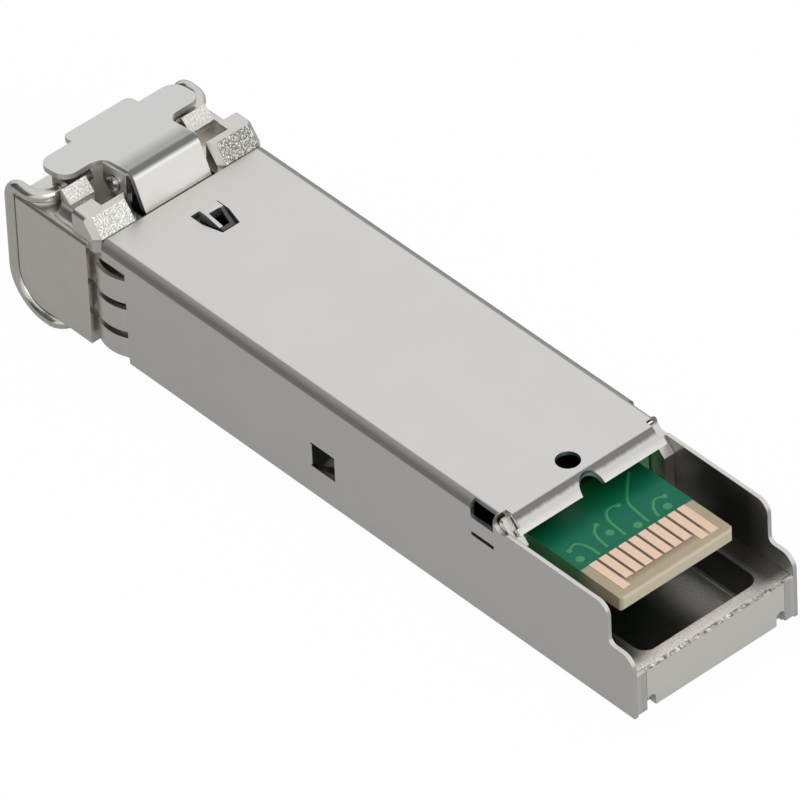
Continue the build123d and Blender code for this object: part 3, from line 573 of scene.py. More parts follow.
    def _pocket(self, along: Wire, side: Wire) -> Wire:
        """Mask of the painted shade in the pocket behind the cover's side slots."""
        mask = along.past_mm(self.pocket_front_mm, self.crisp_mm)
        mask = mask * along.before_mm(self.pocket_rear_mm, self.crisp_mm)
        return mask * side.size().past_mm(self.pocket_inner_mm, self.crisp_mm)

    def _relief(self, graph: Graph, fine: Wire, along: Wire, gate: Wire, rim: Wire) -> Wire:
        """Normal of the skin, with coarse grain at the gate and a little on the rim."""
        cell_size = self.gate_grain_mm * self.gate_cell_share * MM
        cells = graph.node(
            "ShaderNodeTexVoronoi", {"feature": "F1"}, {"Vector": graph.place(), "Scale": 1.0 / cell_size},
            "Distance",
        )
        platform = along.before_mm(self.platform_rear_mm, self.soft_mm)
        depth = gate - gate * platform * self.platform_flattening + rim * self.rim_depth
        height = (fine + cells * self.cell_depth) * (depth * self.gate_depth_mm * MM)
        skin = graph.noise(graph.place(), self.grain_mm, self.grain_octaves) * (self.grain_depth_mm * MM)
        return graph.bump(height + skin, 1.0)

    def shader_inputs(self, graph: Graph) -> dict[str, Any]:
        """Add the gate's grain, the end wall, the rim, the well and the pocket to the plain finish."""
        inputs = super().shader_inputs(graph)
        along, side, up = graph.axes()
        facing, rising = graph.facing("X"), graph.facing("Z")
        fine = graph.noise(graph.place(), self.gate_grain_mm, self.gate_octaves, self.grain_fineness)
        gate = facing.above(self.gate_facing, self.gate_facing_soft)
        gate = gate * along.before_mm(self.gate_rear_mm, self.soft_mm)
        gate = gate * up.past_mm(self.gate_low_mm, self.soft_mm)
        end = facing.above(self.end_facing, self.end_facing_soft)
        end = end * along.past_mm(self.end_mm, self.crisp_mm)
        rim = rising.above(self.rim_rising, self.rim_rising_soft)
        rim = rim * along.past_mm(self.rim_mm, self.rim_soft_mm)
        # These layers paint light and shade into the colour: light on the end wall and the rim's grain, shade
        # in the rim's strips, the well and the pocket, and glints on the nicks and the gate's grain.
        layers = (
            (end, toned(self.colour, self.end_painted_light)),
            (rim, self._rim_colour(graph, along, side, fine)),
            self._well(graph, along, side, up, rising),
            self._nicks(graph, along, up),
            (gate, self._gate_colour(graph, along, side, fine)),
            (self._pocket(along, side), self.pocket_painted_shade),
        )
        for mask, colour in layers:
            inputs["Base Color"] = graph.mix(mask, inputs["Base Color"], colour)
        inputs["Roughness"] = inputs["Roughness"] + gate * self.gate_roughness + rim * self.rim_roughness
        inputs["Normal"] = self._relief(graph, fine, along, gate, rim)
        return inputs


@dataclass(frozen=True)
class LeverFinish(Finish):
    """Stamped steel with painted shade that dims it towards the flap's bend and darkens the bend itself.

    The flap below the bend is brightened with painted light. The tail has painted shade where it runs under
    the cover, and so have the locking boss on the flank and the ramp that turn from the light.
    """

    soft_mm: float = 0.1
    crisp_mm: float = 0.04
    tail_top_mm: float = 9.36
    tail_soft_mm: float = 0.08
    tail_front_mm: float = -20.4
    # Painted shade on the tail where it runs under the cover.
    tail_painted_shade: float = 0.10
    bend_front_mm: float = -21.9
    bend_soft_mm: float = 0.05
    # Painted shade in the flap's bend.
    bend_painted_shade: float = 0.28
    bend_rear_mm: float = -18.55
    bend_start_facing: float = 0.10
    bend_end_facing: float = 0.66
    bend_facing_soft: float = 0.20
    fade_mm: float = 0.50
    fade_side_soft_mm: float = 0.3
    fade_facing: float = 0.45
    # Painted shade that dims the plate towards the bend.
    fade_painted_shade: float = 0.60
    flap_half_mm: float = 2.72
    flap_facing: float = 0.74
    flap_facing_soft: float = 0.12
    # Painted light on the flap below the bend.
    flap_painted_light: float = 1.32
    boss_ramp_mm: float = -15.52
    boss_flat_mm: float = -16.55
    boss_flat_soft_mm: float = 0.06
    boss_far_mm: float = 0.22
    # Painted shade on the boss's flank and ramp, which turn from the light.
    boss_painted_shade: float = 0.16

    def shader_inputs(self, graph: Graph) -> dict[str, Any]:
        """Add the fade, the flap, the bend, the boss and the tail to the plain finish."""
        inputs = super().shader_inputs(graph)
        along, side, up = graph.axes()
        facing = graph.facing("X", smooth=True)
        rear = along.before_mm(self.bend_rear_mm, self.soft_mm)
        steep = along.past_mm(self.bend_front_mm, self.bend_soft_mm) * rear
        steep = steep * side.size().before_mm(self.flap_half_mm, self.crisp_mm)
        bend = steep * facing.above(self.bend_start_facing, self.bend_facing_soft)
        bend = bend * facing.below(self.bend_end_facing, self.bend_facing_soft)
        flap = steep * facing.above(self.flap_facing, self.flap_facing_soft)
        fade = along.past_mm(self.bend_front_mm - self.fade_mm, 2 * self.fade_mm) * rear
        fade = fade * side.size().before_mm(self.flap_half_mm, self.fade_side_soft_mm)
        fade = fade * facing.below(self.fade_facing, self.bend_facing_soft)
        flank = side.past_mm(self.boss_far_mm, self.crisp_mm)
        ramp = along.past_mm(self.boss_ramp_mm, self.crisp_mm)
        turned = (flank + ramp).clamped() * along.past_mm(self.boss_flat_mm, self.boss_flat_soft_mm)
        tail = up.before_mm(self.tail_top_mm, self.tail_soft_mm)
        tail = tail * along.past_mm(self.tail_front_mm, self.soft_mm)
        # Each layer paints shade or light into the colour: shade in the fade, the bend, the boss and the
        # tail, and light on the flap.
        layers = (
            (fade, self.fade_painted_shade), (flap, self.flap_painted_light), (bend, self.bend_painted_shade),
            (turned, self.boss_painted_shade), (tail, self.tail_painted_shade),
        )
        for mask, share in layers:
            inputs["Base Color"] = graph.mix(mask, inputs["Base Color"], toned(self.colour, share))
        return inputs


@dataclass(frozen=True)
class LaminateFinish(Finish):
    """Bare glass laminate: tan resin over a fine plain weave of glass.

    It is brown between the contacts, pale at the routed end, green on the sides beside the mask, and masked
    green inside the cover, darkened there nearly to black as painted shade. Setbacks are distances from the
    card end.
    """

    weave_mm: float = 0.42
    weave_colour: Colour = (0.62, 0.53, 0.38)
    weave_share: float = 0.16
    card_end_mm: float = 25.05
    between: Colour = (0.120, 0.080, 0.052)
    between_half_mm: float = 3.9
    between_side_soft_mm: float = 0.06
    between_front_mm: float = 1.12
    between_front_soft_mm: float = 0.9
    between_back_mm: float = 3.63
    pale: Colour = (0.780, 0.710, 0.540)
    pale_mm: float = 0.10
    pale_soft_mm: float = 0.20
    side_green: Colour = (0.075, 0.270, 0.105)
    side_green_mm: float = 3.13
    side_green_soft_mm: float = 1.6
    side_face_mm: float = 4.54
    side_face_soft_mm: float = 0.04
    # Painted shade: the masked green inside the cover, darkened nearly to black.
    inside: Colour = (0.003, 0.030, 0.014)
    inside_mm: float = 9.22
    crisp_mm: float = 0.05
    flat_rising: float = 0.9
    flat_soft: float = 0.1

    def shader_inputs(self, graph: Graph) -> dict[str, Any]:
        """Add the weave, as the product of two sine waves across the cloth, the tinted places and the painted
        shade inside the cover.
        """
        inputs = super().shader_inputs(graph)
        along, side, _ = graph.axes()
        across = side.size()
        turn = 2 * math.pi / (self.weave_mm * MM)
        sine = {"operation": "SINE"}
        waves = [graph.node("ShaderNodeMath", sine, {0: run * turn}) for run in (along, side)]
        weave = waves[0] * waves[1] * 0.5 + 0.5
        setback = along * (-1.0 / MM) + self.card_end_mm
        between = across.before_mm(self.between_half_mm, self.between_side_soft_mm)
        between = between * graph.facing("Z").size().above(self.flat_rising, self.flat_soft)
        between = between * setback.above(self.between_front_mm, self.between_front_soft_mm)
        between = between * setback.below(self.between_back_mm, self.crisp_mm)
        green = across.past_mm(self.side_face_mm, self.side_face_soft_mm)
        green = green * setback.above(self.side_green_mm, self.side_green_soft_mm)
        layers = (
            (weave * self.weave_share, self.weave_colour),
            (between, self.between),
            (setback.below(self.pale_mm, self.pale_soft_mm), self.pale),
            (green, self.side_green),
            # Painted shade inside the cover.
            (setback.above(self.inside_mm, self.crisp_mm), self.inside),
        )
        for mask, colour in layers:
            inputs["Base Color"] = graph.mix(mask, inputs["Base Color"], colour)
        return inputs


@dataclass(frozen=True)
class MaskFinish(Finish):
    """Green solder mask, with painted shade that darkens it where it runs back under the cover's lip."""

    lip_mm: float = 17.87
    lip_soft_mm: float = 2.4
    # Painted shade where the mask runs under the cover's lip.
    deep_painted_shade: Colour = (0.002, 0.080, 0.024)

    def shader_inputs(self, graph: Graph) -> dict[str, Any]:
        """Paint shade over the mask towards the lip."""
        inputs = super().shader_inputs(graph)
        along = graph.axes()[0]
        back = along.before_mm(self.lip_mm, self.lip_soft_mm)
        inputs["Base Color"] = graph.mix(back, inputs["Base Color"], self.deep_painted_shade)
        return inputs


COVER = CoverFinish("rolled_cover_sheet", (0.640, 0.630, 0.605), 0.34, 1.0, shade=0.965, mottle_mm=3.5,
                    grain_mm=0.12, grain_depth_mm=0.0008, grain_stretch=(0.25, 1.0, 1.0),
                    roughness_spread=0.03)
CAST = CastFinish("plated_casting", (0.640, 0.615, 0.585), 0.30, 1.0, shade=0.93, mottle_mm=2.2,
                  grain_mm=0.10, grain_depth_mm=0.004, roughness_spread=0.06)
LEVER = LeverFinish("stamped_lever_steel", (0.635, 0.630, 0.612), 0.40, 1.0, shade=0.97, mottle_mm=1.6,
                    grain_mm=0.08, grain_depth_mm=0.0012, roughness_spread=0.03)
BAIL = Finish("drawn_bail_wire", (0.62, 0.60, 0.565), 0.26, 1.0, shade=0.90, mottle_mm=1.2,
              grain_mm=0.10, grain_depth_mm=0.0015, roughness_spread=0.05)
STRIP = Finish("spring_strip_steel", (0.60, 0.58, 0.55), 0.24, 1.0, grain_mm=0.1, grain_depth_mm=0.001)
PIN = Finish("ground_pin_steel", (0.60, 0.60, 0.60), 0.18, 1.0, grain_mm=0.06, grain_depth_mm=0.0008)
PLASTIC = Finish("moulded_receptacle", (0.030, 0.030, 0.033), 0.46, shade=0.8, grain_mm=0.09,
                 grain_depth_mm=0.004)
LAMINATE = LaminateFinish("glass_laminate", (0.520, 0.420, 0.280), 0.42, shade=0.90, mottle_mm=0.9,
                          grain_mm=0.12, grain_depth_mm=0.004, coat=0.15)
MASK = MaskFinish("green_solder_mask", (0.006, 0.185, 0.105), 0.34, shade=0.88, mottle_mm=1.1,
                  grain_mm=0.20, grain_depth_mm=0.003, specular=0.18)
TRACE = Finish("masked_copper_trace", (0.020, 0.300, 0.095), 0.26, shade=0.9, grain_mm=0.2,
               grain_depth_mm=0.002, coat=0.3)
PAD = Finish("plated_card_contact", (0.900, 0.660, 0.500), 0.40, 0.55, shade=0.95, mottle_mm=0.5,
             grain_mm=0.06, grain_depth_mm=0.002, grain_stretch=(0.2, 1.0, 1.0))
RESIN = Finish("chip_resin", (0.028, 0.028, 0.030), 0.50, shade=0.75, grain_mm=0.05, grain_depth_mm=0.004)
CAPACITOR = Finish("capacitor_body", (0.38, 0.25, 0.15), 0.45, shade=0.85, mottle_mm=0.4, grain_mm=0.06)
RESISTOR = Finish("resistor_glaze", (0.045, 0.045, 0.05), 0.30, shade=0.8, mottle_mm=0.4, grain_mm=0.06)
FERRITE = Finish("inductor_ferrite", (0.075, 0.075, 0.080), 0.60, shade=0.8, mottle_mm=0.5, grain_mm=0.07)
SILICONE = Finish("thermal_silicone", (0.35, 0.38, 0.42), 0.75, shade=0.9, mottle_mm=0.6, grain_mm=0.12)
BARREL = Finish("turned_barrel_steel", (0.58, 0.57, 0.55), 0.25, 1.0, grain_mm=0.05, grain_depth_mm=0.0015,
                grain_stretch=(3.0, 0.3, 0.3))
CAN = Finish("gilded_can", (0.80, 0.60, 0.30), 0.24, 1.0, shade=0.9, mottle_mm=0.9, grain_mm=0.08,
             grain_depth_mm=0.0015)
FILM = Finish("amber_flex_film", (0.42, 0.17, 0.03), 0.28, shade=0.85, mottle_mm=0.8, grain_mm=0.15, coat=0.3)
CERAMIC = Finish("white_zirconia", (0.84, 0.82, 0.77), 0.14, shade=0.96, mottle_mm=0.8, grain_mm=0.08,
                 grain_depth_mm=0.0006, coat=0.2)

NODE_FINISH: dict[str, Finish] = {
    "ground_spring_strip": STRIP, "port_insert": PLASTIC, "pivot_pin": PIN,
    "circuit_board": LAMINATE, "contact_pads": PAD, "driver_chip": RESIN, "amplifier_chip": RESIN,
    "control_chip": RESIN, "memory_chip": RESIN, "ceramic_capacitors": CAPACITOR, "chip_resistors": RESISTOR,
    "power_inductors": FERRITE, "thermal_pad": SILICONE, "transmit_barrel": BARREL, "receive_barrel": BARREL,
    "transmit_can": CAN, "receive_can": CAN, "can_leads": CAN, "transmit_flex": FILM, "receive_flex": FILM,
    "ceramic_sleeves": CERAMIC, "fibre_stubs": CERAMIC, "optics_clamp": STRIP, "bail_wire": BAIL,
}


class FinishShelf:
    """Keeps each finish's material, so that it is built once."""

    def __init__(self) -> None:
        """Start empty."""
        self.made: dict[str, bpy.types.Material] = {}

    def get(self, finish: Finish) -> bpy.types.Material:
        """The material of a finish."""
        if finish.name not in self.made:
            self.made[finish.name] = finish.build()
        return self.made[finish.name]

    def dress(self, piece: bpy.types.Object, finish: Finish) -> None:
        """Give a whole piece one finish.

        Args:
            piece: A mesh object.
            finish: What it is finished in.
        """
        material = self.get(finish)
        if not piece.data.materials:
            piece.data.materials.append(material)
        for slot in piece.material_slots:
            slot.material = material


SHELF = FinishShelf()


# Meshes

# Distances within which points are one, in a made grid and in a CAD mesh.
WELD_M = 1e-7
CAD_WELD_M = 2e-6
# Angles between faces that still count as flat, and past which an edge stays crisp.
CAD_FLAT_DEG = 0.6
CRISP_DEG = 30.0
ROUND_DEG = 40.0
SHADING_WEIGHT = 50
# Profiles, as shares of a strip's width and height and of a dome's radius and height.
STRIP_SIDES = np.array([-0.5, -0.36, 0.36, 0.5])
STRIP_RISES = np.array([0.0, 1.0, 1.0, 0.0])
DOME_RADII = np.array([1.0, 0.93, 0.75, 0.4, 0.02])
DOME_RISES = np.array([0.0, 0.55, 0.9, 1.0, 1.0])
DOME_SIDES = 24


def new_piece(name: str, mesh: bpy.types.Mesh) -> bpy.types.Object:
    """Link a new object that sits at the origin, unturned and unscaled."""
    piece = bpy.data.objects.new(name, mesh)
    bpy.context.scene.collection.objects.link(piece)
    return piece


def grid_piece(name: str, points: np.ndarray, closed: bool = False) -> bpy.types.Object:
    """Make a piece from a grid of points, as one sheet of quads.

    Args:
        name: Name of the piece.
        points: Array of shape (rows, columns, 3) in metres.
        closed: Whether the last column joins the first.

    Returns:
        The new object.
    """
    rows, columns = points.shape[:2]
    index = np.arange(rows * columns).reshape(rows, columns)
    if closed:
        index = np.hstack([index, index[:, :1]])
    faces = np.stack([index[:-1, :-1], index[1:, :-1], index[1:, 1:], index[:-1, 1:]], axis=-1)
    mesh = bpy.data.meshes.new(name)
    mesh.from_pydata(points.reshape(-1, 3).tolist(), [], faces.reshape(-1, 4).tolist())
    mesh.update()
    return new_piece(name, mesh)


def sealed(piece: bpy.types.Object, crisp_deg: float = ROUND_DEG) -> bpy.types.Object:
    """Close open rims with caps, merge doubles and point the faces outwards."""
    shape = bmesh.new()
    shape.from_mesh(piece.data)
    bmesh.ops.remove_doubles(shape, verts=shape.verts, dist=WELD_M)
    bmesh.ops.holes_fill(shape, edges=[edge for edge in shape.edges if edge.is_boundary], sides=0)
    bmesh.ops.recalc_face_normals(shape, faces=shape.faces)
    shape.to_mesh(piece.data)
    shape.free()
    soften(piece, crisp_deg)
    return piece


def soften(piece: bpy.types.Object, angle_deg: float) -> None:
    """Shade smooth, with edges sharper than an angle kept crisp."""
    piece.data.shade_smooth()
    piece.data.set_sharp_from_angle(angle=math.radians(angle_deg))


def smooth_line(corners: np.ndarray, steps: int) -> np.ndarray:
    """Points along a smooth line through the corners.

    The line is a Catmull-Rom spline: between two corners, each point is the cubic
    blend of those two and their outer neighbours, worked out for all steps at once.

    Args:
        corners: Array of shape (n, 3).
        steps: Points between one corner and the next.

    Returns:
        Array of shape ((n - 1) * steps + 1, 3).
    """
    padded = np.vstack([2 * corners[0] - corners[1], corners, 2 * corners[-1] - corners[-2]])
    share = np.linspace(0.0, 1.0, steps, endpoint=False)[None, :, None]
    before, start, end, after = (padded[i : len(padded) - 3 + i][:, None, :] for i in range(4))
    square = (2 * before - 5 * start + 4 * end - after) * share**2
    cube = (3 * start - before - 3 * end + after) * share**3
    blend = 0.5 * (2 * start + (end - before) * share + square + cube)
    return np.vstack([blend.reshape(-1, 3), corners[-1:]])


def strip_along(name: str, line: np.ndarray, width: float, height: float) -> bpy.types.Object:
    """Low strip with sloping sides, carried along a line that lies flat.

    Each ring is the line's point plus the profile's offsets along the line's own
    left-hand normal in plan and straight up.

    Args:
        name: Name of the piece.
        line: Array of shape (n, 3) in metres, at the strip's foot.
        width: Width at the foot, in metres.
        height: Height of the strip, in metres.

    Returns:
        The closed strip.
    """
    tangent = np.gradient(line, axis=0)
    tangent /= np.linalg.norm(tangent, axis=1, keepdims=True)
    left = np.stack([-tangent[:, 1], tangent[:, 0], np.zeros(len(line))], axis=1)
    rings = line[:, None, :] + left[:, None, :] * (STRIP_SIDES * width)[None, :, None]
    rings[:, :, 2] += STRIP_RISES * height
    return sealed(grid_piece(name, rings, closed=True))


def dome(name: str, centre: Triple, radius: float, height: float) -> bpy.types.Object:
    """Flat-topped round bump, turned about an upright axis.

    Each place of the profile, with its radius and its height, is turned through a
    full circle.

    Args:
        name: Name of the piece.
        centre: Middle of its foot, in metres.
        radius: Radius at the foot, in metres.
        height: Height, in metres.

    Returns:
        The closed bump.
    """
    out = (DOME_RADII * radius)[:, None]
    up = (DOME_RISES * height)[:, None]
    turn = np.linspace(0.0, 2 * math.pi, DOME_SIDES, endpoint=False)
    points = np.stack([
        centre[0] + out * np.cos(turn),
        centre[1] + out * np.sin(turn),
        centre[2] + np.repeat(up, DOME_SIDES, axis=1),
    ], axis=-1)
    return sealed(grid_piece(name, points, closed=True))


def flat_slab(name: str, corners: np.ndarray, low: float, high: float) -> bpy.types.Object:
    """Thin slab over a closed outline: the outline at its low and its high level.

    Args:
        name: Name of the piece.
        corners: Array of shape (n, 2) in metres, in order round the outline.
        low: Height of its underside.
        high: Height of its top.

    Returns:
        The closed slab.
    """
    rings = np.stack([np.c_[corners, np.full(len(corners), level)] for level in (low, high)])
    return sealed(grid_piece(name, rings, closed=True), CRISP_DEG)


def merged_copy(node: str, name: str, bevel_mm: float, segments: int = 2) -> bpy.types.Object:
    """Copy a CAD node as one merged mesh with small rounded edges, and stand it in for the node.

    Args:
        node: The CAD node.
        name: Name of the piece.
        bevel_mm: Width of the rounding on its crisp edges.
        segments: Steps across the rounding.

    Returns:
        The new piece, which replaces the node.
    """
    shape = bmesh.new()
    shape.from_mesh(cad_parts[node].data)
    bmesh.ops.remove_doubles(shape, verts=shape.verts, dist=CAD_WELD_M)
    bmesh.ops.dissolve_limit(
        shape, angle_limit=math.radians(CAD_FLAT_DEG), verts=shape.verts, edges=shape.edges,
        delimit={"NORMAL"},
    )
    mesh = bpy.data.meshes.new(name)
    shape.to_mesh(mesh)
    shape.free()
    piece = new_piece(name, mesh)
    rounding = piece.modifiers.new("rounded_edges", "BEVEL")
    rounding.width = bevel_mm * MM
    rounding.segments = segments
    rounding.limit_method = "ANGLE"
    rounding.angle_limit = math.radians(CRISP_DEG)
    rounding.miter_outer = "MITER_ARC"
    rounding.use_clamp_overlap = True
    soften(piece, CRISP_DEG)
    shading = piece.modifiers.new("even_shading", "WEIGHTED_NORMAL")
    shading.weight = SHADING_WEIGHT
    shading.keep_sharp = True
    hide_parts(node)
    return piece


# Sub-assemblies


@dataclass
class StampedCover:
    """Folded cover sheet, with its cut edges just broken."""

    bevel_mm: float = 0.045

    def build(self) -> None:
        """Make the cover from its CAD node."""
        piece = merged_copy("shell_cover", "stamped_cover", self.bevel_mm)
        SHELF.dress(piece, COVER)
        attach(piece, Body.HOUSING.value)
        LOG.info("stamped_cover: %d faces", len(piece.data.polygons))


@dataclass
class CastHousing:
    """Die casting with softly rounded edges."""

    bevel_mm: float = 0.07
    bevel_steps: int = 3

    def build(self) -> None:
        """Make the casting from its CAD node."""
        piece = merged_copy("base_housing", "cast_housing", self.bevel_mm, self.bevel_steps)
        SHELF.dress(piece, CAST)
        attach(piece, Body.HOUSING.value)
        LOG.info("cast_housing: %d faces", len(piece.data.polygons))


@dataclass
class RockingLever:
    """Stamped latch lever with rolled edges."""

    bevel_mm: float = 0.06
    bevel_steps: int = 3

    def build(self) -> None:
        """Make the lever from its CAD node."""
        piece = merged_copy("latch_lever", "rocking_lever", self.bevel_mm, self.bevel_steps)
        SHELF.dress(piece, LEVER)
        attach(piece, Body.LEVER.value)
        LOG.info("rocking_lever: %d faces", len(piece.data.polygons))


@dataclass
class LeafSpring:
    """Leaf spring under the lever's tail, kept in its resting shape, though the real one flattens towards its
    foot as the lever rocks.
    """

    bevel_mm: float = 0.02
    keep: float = 0.3

    def build(self) -> None:
        """Make the spring from its CAD node and give it a mesh of its own."""
        piece = merged_copy("return_spring", "lever_leaf_spring", self.bevel_mm)
        SHELF.dress(piece, STRIP)
        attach(piece, Body.HOUSING.value)
        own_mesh(piece)
        LOG.info("lever_leaf_spring: %d faces", len(piece.data.polygons))


@dataclass
class CardEdge:
    """Solder mask, copper traces, vias and test lands of the board beside the contacts.

    Sizes are millimetres. Places are a setback from the card end and a place across.
    """

    mask_back: float = 9.28
    mask_front: float = 3.63
    mask_margin: float = 0.02
    mask_height: float = 0.018
    trace_width: float = 0.20
    trace_height: float = 0.016
    trace_steps: int = 8
    dome_height: float = 0.0256
    via_radius: float = 0.20
    land_radius: float = 0.30
    traces: tuple[tuple[tuple[float, float], ...], ...] = (
        ((5.40, -3.87), (5.61, -3.43), (5.53, -3.1), (5.21, -2.9), (4.57, -2.76), (3.88, -2.79)),
        ((6.00, -1.12), (5.68, -1.57), (5.16, -1.81), (4.61, -1.91), (4.03, -1.96)),
        ((6.40, 1.06), (6.57, 0.56), (6.37, 0.05), (5.71, -0.31), (4.91, -0.4), (4.07, -0.45)),
        ((8.16, 3.57), (7.22, 2.56), (6.27, 1.71), (5.24, 1.46), (3.96, 1.34)),
        ((5.02, 3.6), (5.24, 3.02), (4.86, 2.5), (4.27, 2.19), (3.88, 2.11)),
    )
    vias: tuple[tuple[float, float], ...] = ((5.40, -3.87), (6.00, -1.12), (6.40, 1.06), (5.02, 3.6))
    lands: tuple[tuple[float, float], ...] = ((4.41, -3.89), (4.92, -1.01), (4.23, 3.11), (4.23, 0.67))
    edge_half: float = 4.60

    def _mask(self, name: str, end: float, low: float) -> bpy.types.Object:
        """Sheet of mask over one face of the board's narrow end."""
        rear, front = end - self.mask_back, end - self.mask_front
        half = self.edge_half - self.mask_margin
        corners = np.array([(rear, -half), (front, -half), (front, half), (rear, half)]) * MM
        return flat_slab(name, corners, low * MM, (low + self.mask_height) * MM)

    def _add(self, piece: bpy.types.Object, finish: Finish) -> None:
        """Dress one piece of the board and let it ride on the housing."""
        SHELF.dress(piece, finish)
        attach(piece, Body.HOUSING.value)
        LOG.info("%s: %d faces", piece.name, len(piece.data.polygons))

    def build(self) -> None:
        """Make the mask on both faces, then the traces, vias and test lands on the upper one."""
        low, high = (np.array(corner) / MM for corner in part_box("circuit_board"))
        end, under, top = high[0], low[2], high[2]
        self._add(self._mask("mask_upper", end, top), MASK)
        self._add(self._mask("mask_under", end, under - self.mask_height), MASK)
        foot = top + self.mask_height
        for number, corners in enumerate(self.traces):
            flat = np.array([(end - back, y, foot) for back, y in corners]) * MM
            line = smooth_line(flat, self.trace_steps)
            piece = strip_along(f"trace_{number}", line, self.trace_width * MM, self.trace_height * MM)
            self._add(piece, TRACE)
        domes = (("via", self.vias, self.via_radius), ("test_land", self.lands, self.land_radius))
        for label, places, radius in domes:
            for number, (back, y) in enumerate(places):
                centre = ((end - back) * MM, y * MM, foot * MM)
                self._add(dome(f"{label}_{number}", centre, radius * MM, self.dome_height * MM), TRACE)


@dataclass
class FittedParts:
    """CAD nodes that keep their own meshes and only get their finish."""

    finishes: dict[str, Finish] = field(default_factory=lambda: dict(NODE_FINISH))

    def build(self) -> None:
        """Dress each node."""
        for node, finish in self.finishes.items():
            SHELF.dress(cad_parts[node], finish)
            LOG.info("%s: %s", node, finish.name)


# Studio

WHITE = (1.0, 1.0, 1.0, 1.0)


@dataclass(frozen=True)
class Flag:
    """Dark card that stands facing the object and that only reflections see."""

    name: str
    direction: Triple
    reach_m: float
    width_m: float
    height_m: float
    colour: Colour = (0.070, 0.070, 0.070)
    roughness: float = 0.9

    def build(self) -> None:
        """Stand the card at its reach from the object."""
        facing = Vector(self.direction).normalized()
        across = facing.cross(Vector((0.0, 0.0, 1.0))).normalized()
        rise = across.cross(facing)
        middle = facing * self.reach_m
        half_width, half_height = self.width_m / 2, self.height_m / 2
        corners = np.array([
            [tuple(middle + across * (half_width * sideways) + rise * (half_height * upwards))
             for upwards in (-1, 1)]
            for sideways in (-1, 1)
        ])
        piece = grid_piece(self.name, corners)
        material = bpy.data.materials.new(self.name)
        material.use_nodes = True
        graph = Graph(material.node_tree)
        graph.surface({"Base Color": (*self.colour, 1.0), "Roughness": self.roughness})
        piece.data.materials.append(material)
        piece.visible_camera = False
        piece.visible_diffuse = False
        piece.visible_shadow = False


@dataclass(frozen=True)
class Softbox:
    """Square area light that faces the object."""

    name: str
    place_m: Triple
    size_m: float
    power_w: float

    def build(self) -> None:
        """Hang the light."""
        data = bpy.data.lights.new(self.name, "AREA")
        data.shape = "SQUARE"
        data.size = self.size_m
        data.energy = self.power_w
        piece = bpy.data.objects.new(self.name, data)
        piece.location = self.place_m
        piece.rotation_euler = Vector(self.place_m).to_track_quat("Z", "Y").to_euler()
        bpy.context.scene.collection.objects.link(piece)


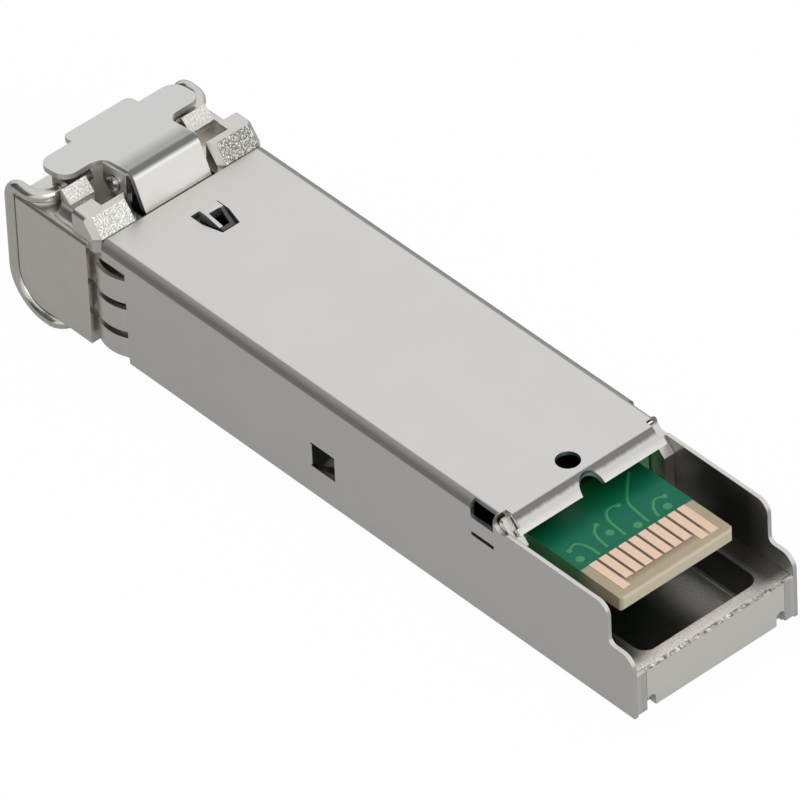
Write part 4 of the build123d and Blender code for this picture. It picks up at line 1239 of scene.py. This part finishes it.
@dataclass
class Studio:
    """Camera, pale floor, dark card and soft lights."""

    azimuth_deg: float = 49.714
    elevation_deg: float = 40.775
    roll_deg: float = -2.817
    distance_m: float = 0.792847
    target_m: Triple = (0.000291, -0.000119, 0.00505)
    focal_px: float = 13006.6
    frame_px: float = 800.0
    sensor_mm: float = 36.0
    nearest_m: float = 0.01
    farthest_m: float = 20.0
    ambient: float = 0.55
    floor_half_m: float = 1.6
    floor_grey: Colour = (0.46, 0.455, 0.45)
    floor_white: Colour = (0.95, 0.95, 0.95)
    floor_glow: float = 0.97
    floor_sheen: float = 0.26
    flag: Flag = Flag("front_left_flag", (-0.577, -0.62, 0.42), reach_m=0.34, width_m=0.55, height_m=0.34)
    key: Softbox = Softbox("key_softbox", (0.42, -0.10, 0.38), size_m=0.30, power_w=0.80)
    fill: Softbox = Softbox("fill_softbox", (-0.30, -0.38, 0.40), size_m=0.40, power_w=0.42)

    def camera(self) -> None:
        """Place the camera at the photograph's viewing angle.

        Its back axis points from the target at the azimuth and elevation, and the
        picture is rolled about that axis.
        """
        angles = (self.azimuth_deg, self.elevation_deg, self.roll_deg)
        azimuth, elevation, roll = (math.radians(angle) for angle in angles)
        back = Vector((
            math.sin(azimuth) * math.cos(elevation),
            -math.cos(azimuth) * math.cos(elevation),
            math.sin(elevation),
        ))
        level = Vector((math.cos(azimuth), math.sin(azimuth), 0.0))
        rise = back.cross(level)
        right = math.cos(roll) * level + math.sin(roll) * rise
        up = back.cross(right)
        data = bpy.data.cameras.new("camera")
        data.sensor_width = self.sensor_mm
        data.lens = self.focal_px / self.frame_px * self.sensor_mm
        data.clip_start = self.nearest_m
        data.clip_end = self.farthest_m
        piece = bpy.data.objects.new("camera", data)
        turn = Matrix((right, up, back)).transposed().to_4x4()
        piece.matrix_world = Matrix.Translation(Vector(self.target_m) + self.distance_m * back) @ turn
        bpy.context.scene.collection.objects.link(piece)
        bpy.context.scene.camera = piece

    def world(self) -> None:
        """White to the camera and in reflections, and a plain grey light otherwise."""
        world = bpy.data.worlds.new("studio")
        bpy.context.scene.world = world
        world.use_nodes = True
        graph = Graph(world.node_tree)
        seen = (graph.ray("Camera") + graph.ray("Glossy") + graph.ray("Transmission")).clamped()
        strength = seen * (1.0 - self.ambient) + self.ambient
        light = graph.node("ShaderNodeBackground", {}, {"Color": WHITE, "Strength": strength})
        graph.node("ShaderNodeOutputWorld", {}, {"Surface": light})

    def floor(self) -> None:
        """Pale floor that looks white to the camera and keeps the shadow."""
        half = self.floor_half_m
        corners = np.array([[(x, y, 0.0) for y in (-half, half)] for x in (-half, half)])
        piece = grid_piece("floor", corners)
        material = bpy.data.materials.new("pale_floor")
        material.use_nodes = True
        graph = Graph(material.node_tree)
        eye = graph.ray("Camera")
        grey = graph.mix(eye, self.floor_grey, self.floor_white)
        matt = graph.node("ShaderNodeBsdfDiffuse", {}, {"Color": grey})
        white = graph.node("ShaderNodeEmission", {}, {"Color": WHITE, "Strength": 1.0})
        sheen = (graph.ray("Glossy") + graph.ray("Transmission")) * self.floor_sheen
        share = (eye * self.floor_glow + sheen).clamped()
        shader = graph.node("ShaderNodeMixShader", {}, {0: share, 1: matt, 2: white})
        graph.node("ShaderNodeOutputMaterial", {}, {"Surface": shader})
        piece.data.materials.append(material)

    def build(self) -> None:
        """Set up the whole studio."""
        self.camera()
        self.world()
        self.floor()
        for piece in (self.flag, self.key, self.fill):
            piece.build()
        LOG.info("studio: ready")


def main() -> None:
    """Build every sub-assembly in order."""
    logging.basicConfig(level=logging.INFO, format="%(name)s %(message)s")
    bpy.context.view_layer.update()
    bpy.context.scene.view_settings.view_transform = "Standard"
    parts = (StampedCover(), CastHousing(), RockingLever(), LeafSpring(), CardEdge(), FittedParts(), Studio())
    for part in parts:
        part.build()


if __name__ == "__main__":
    main()
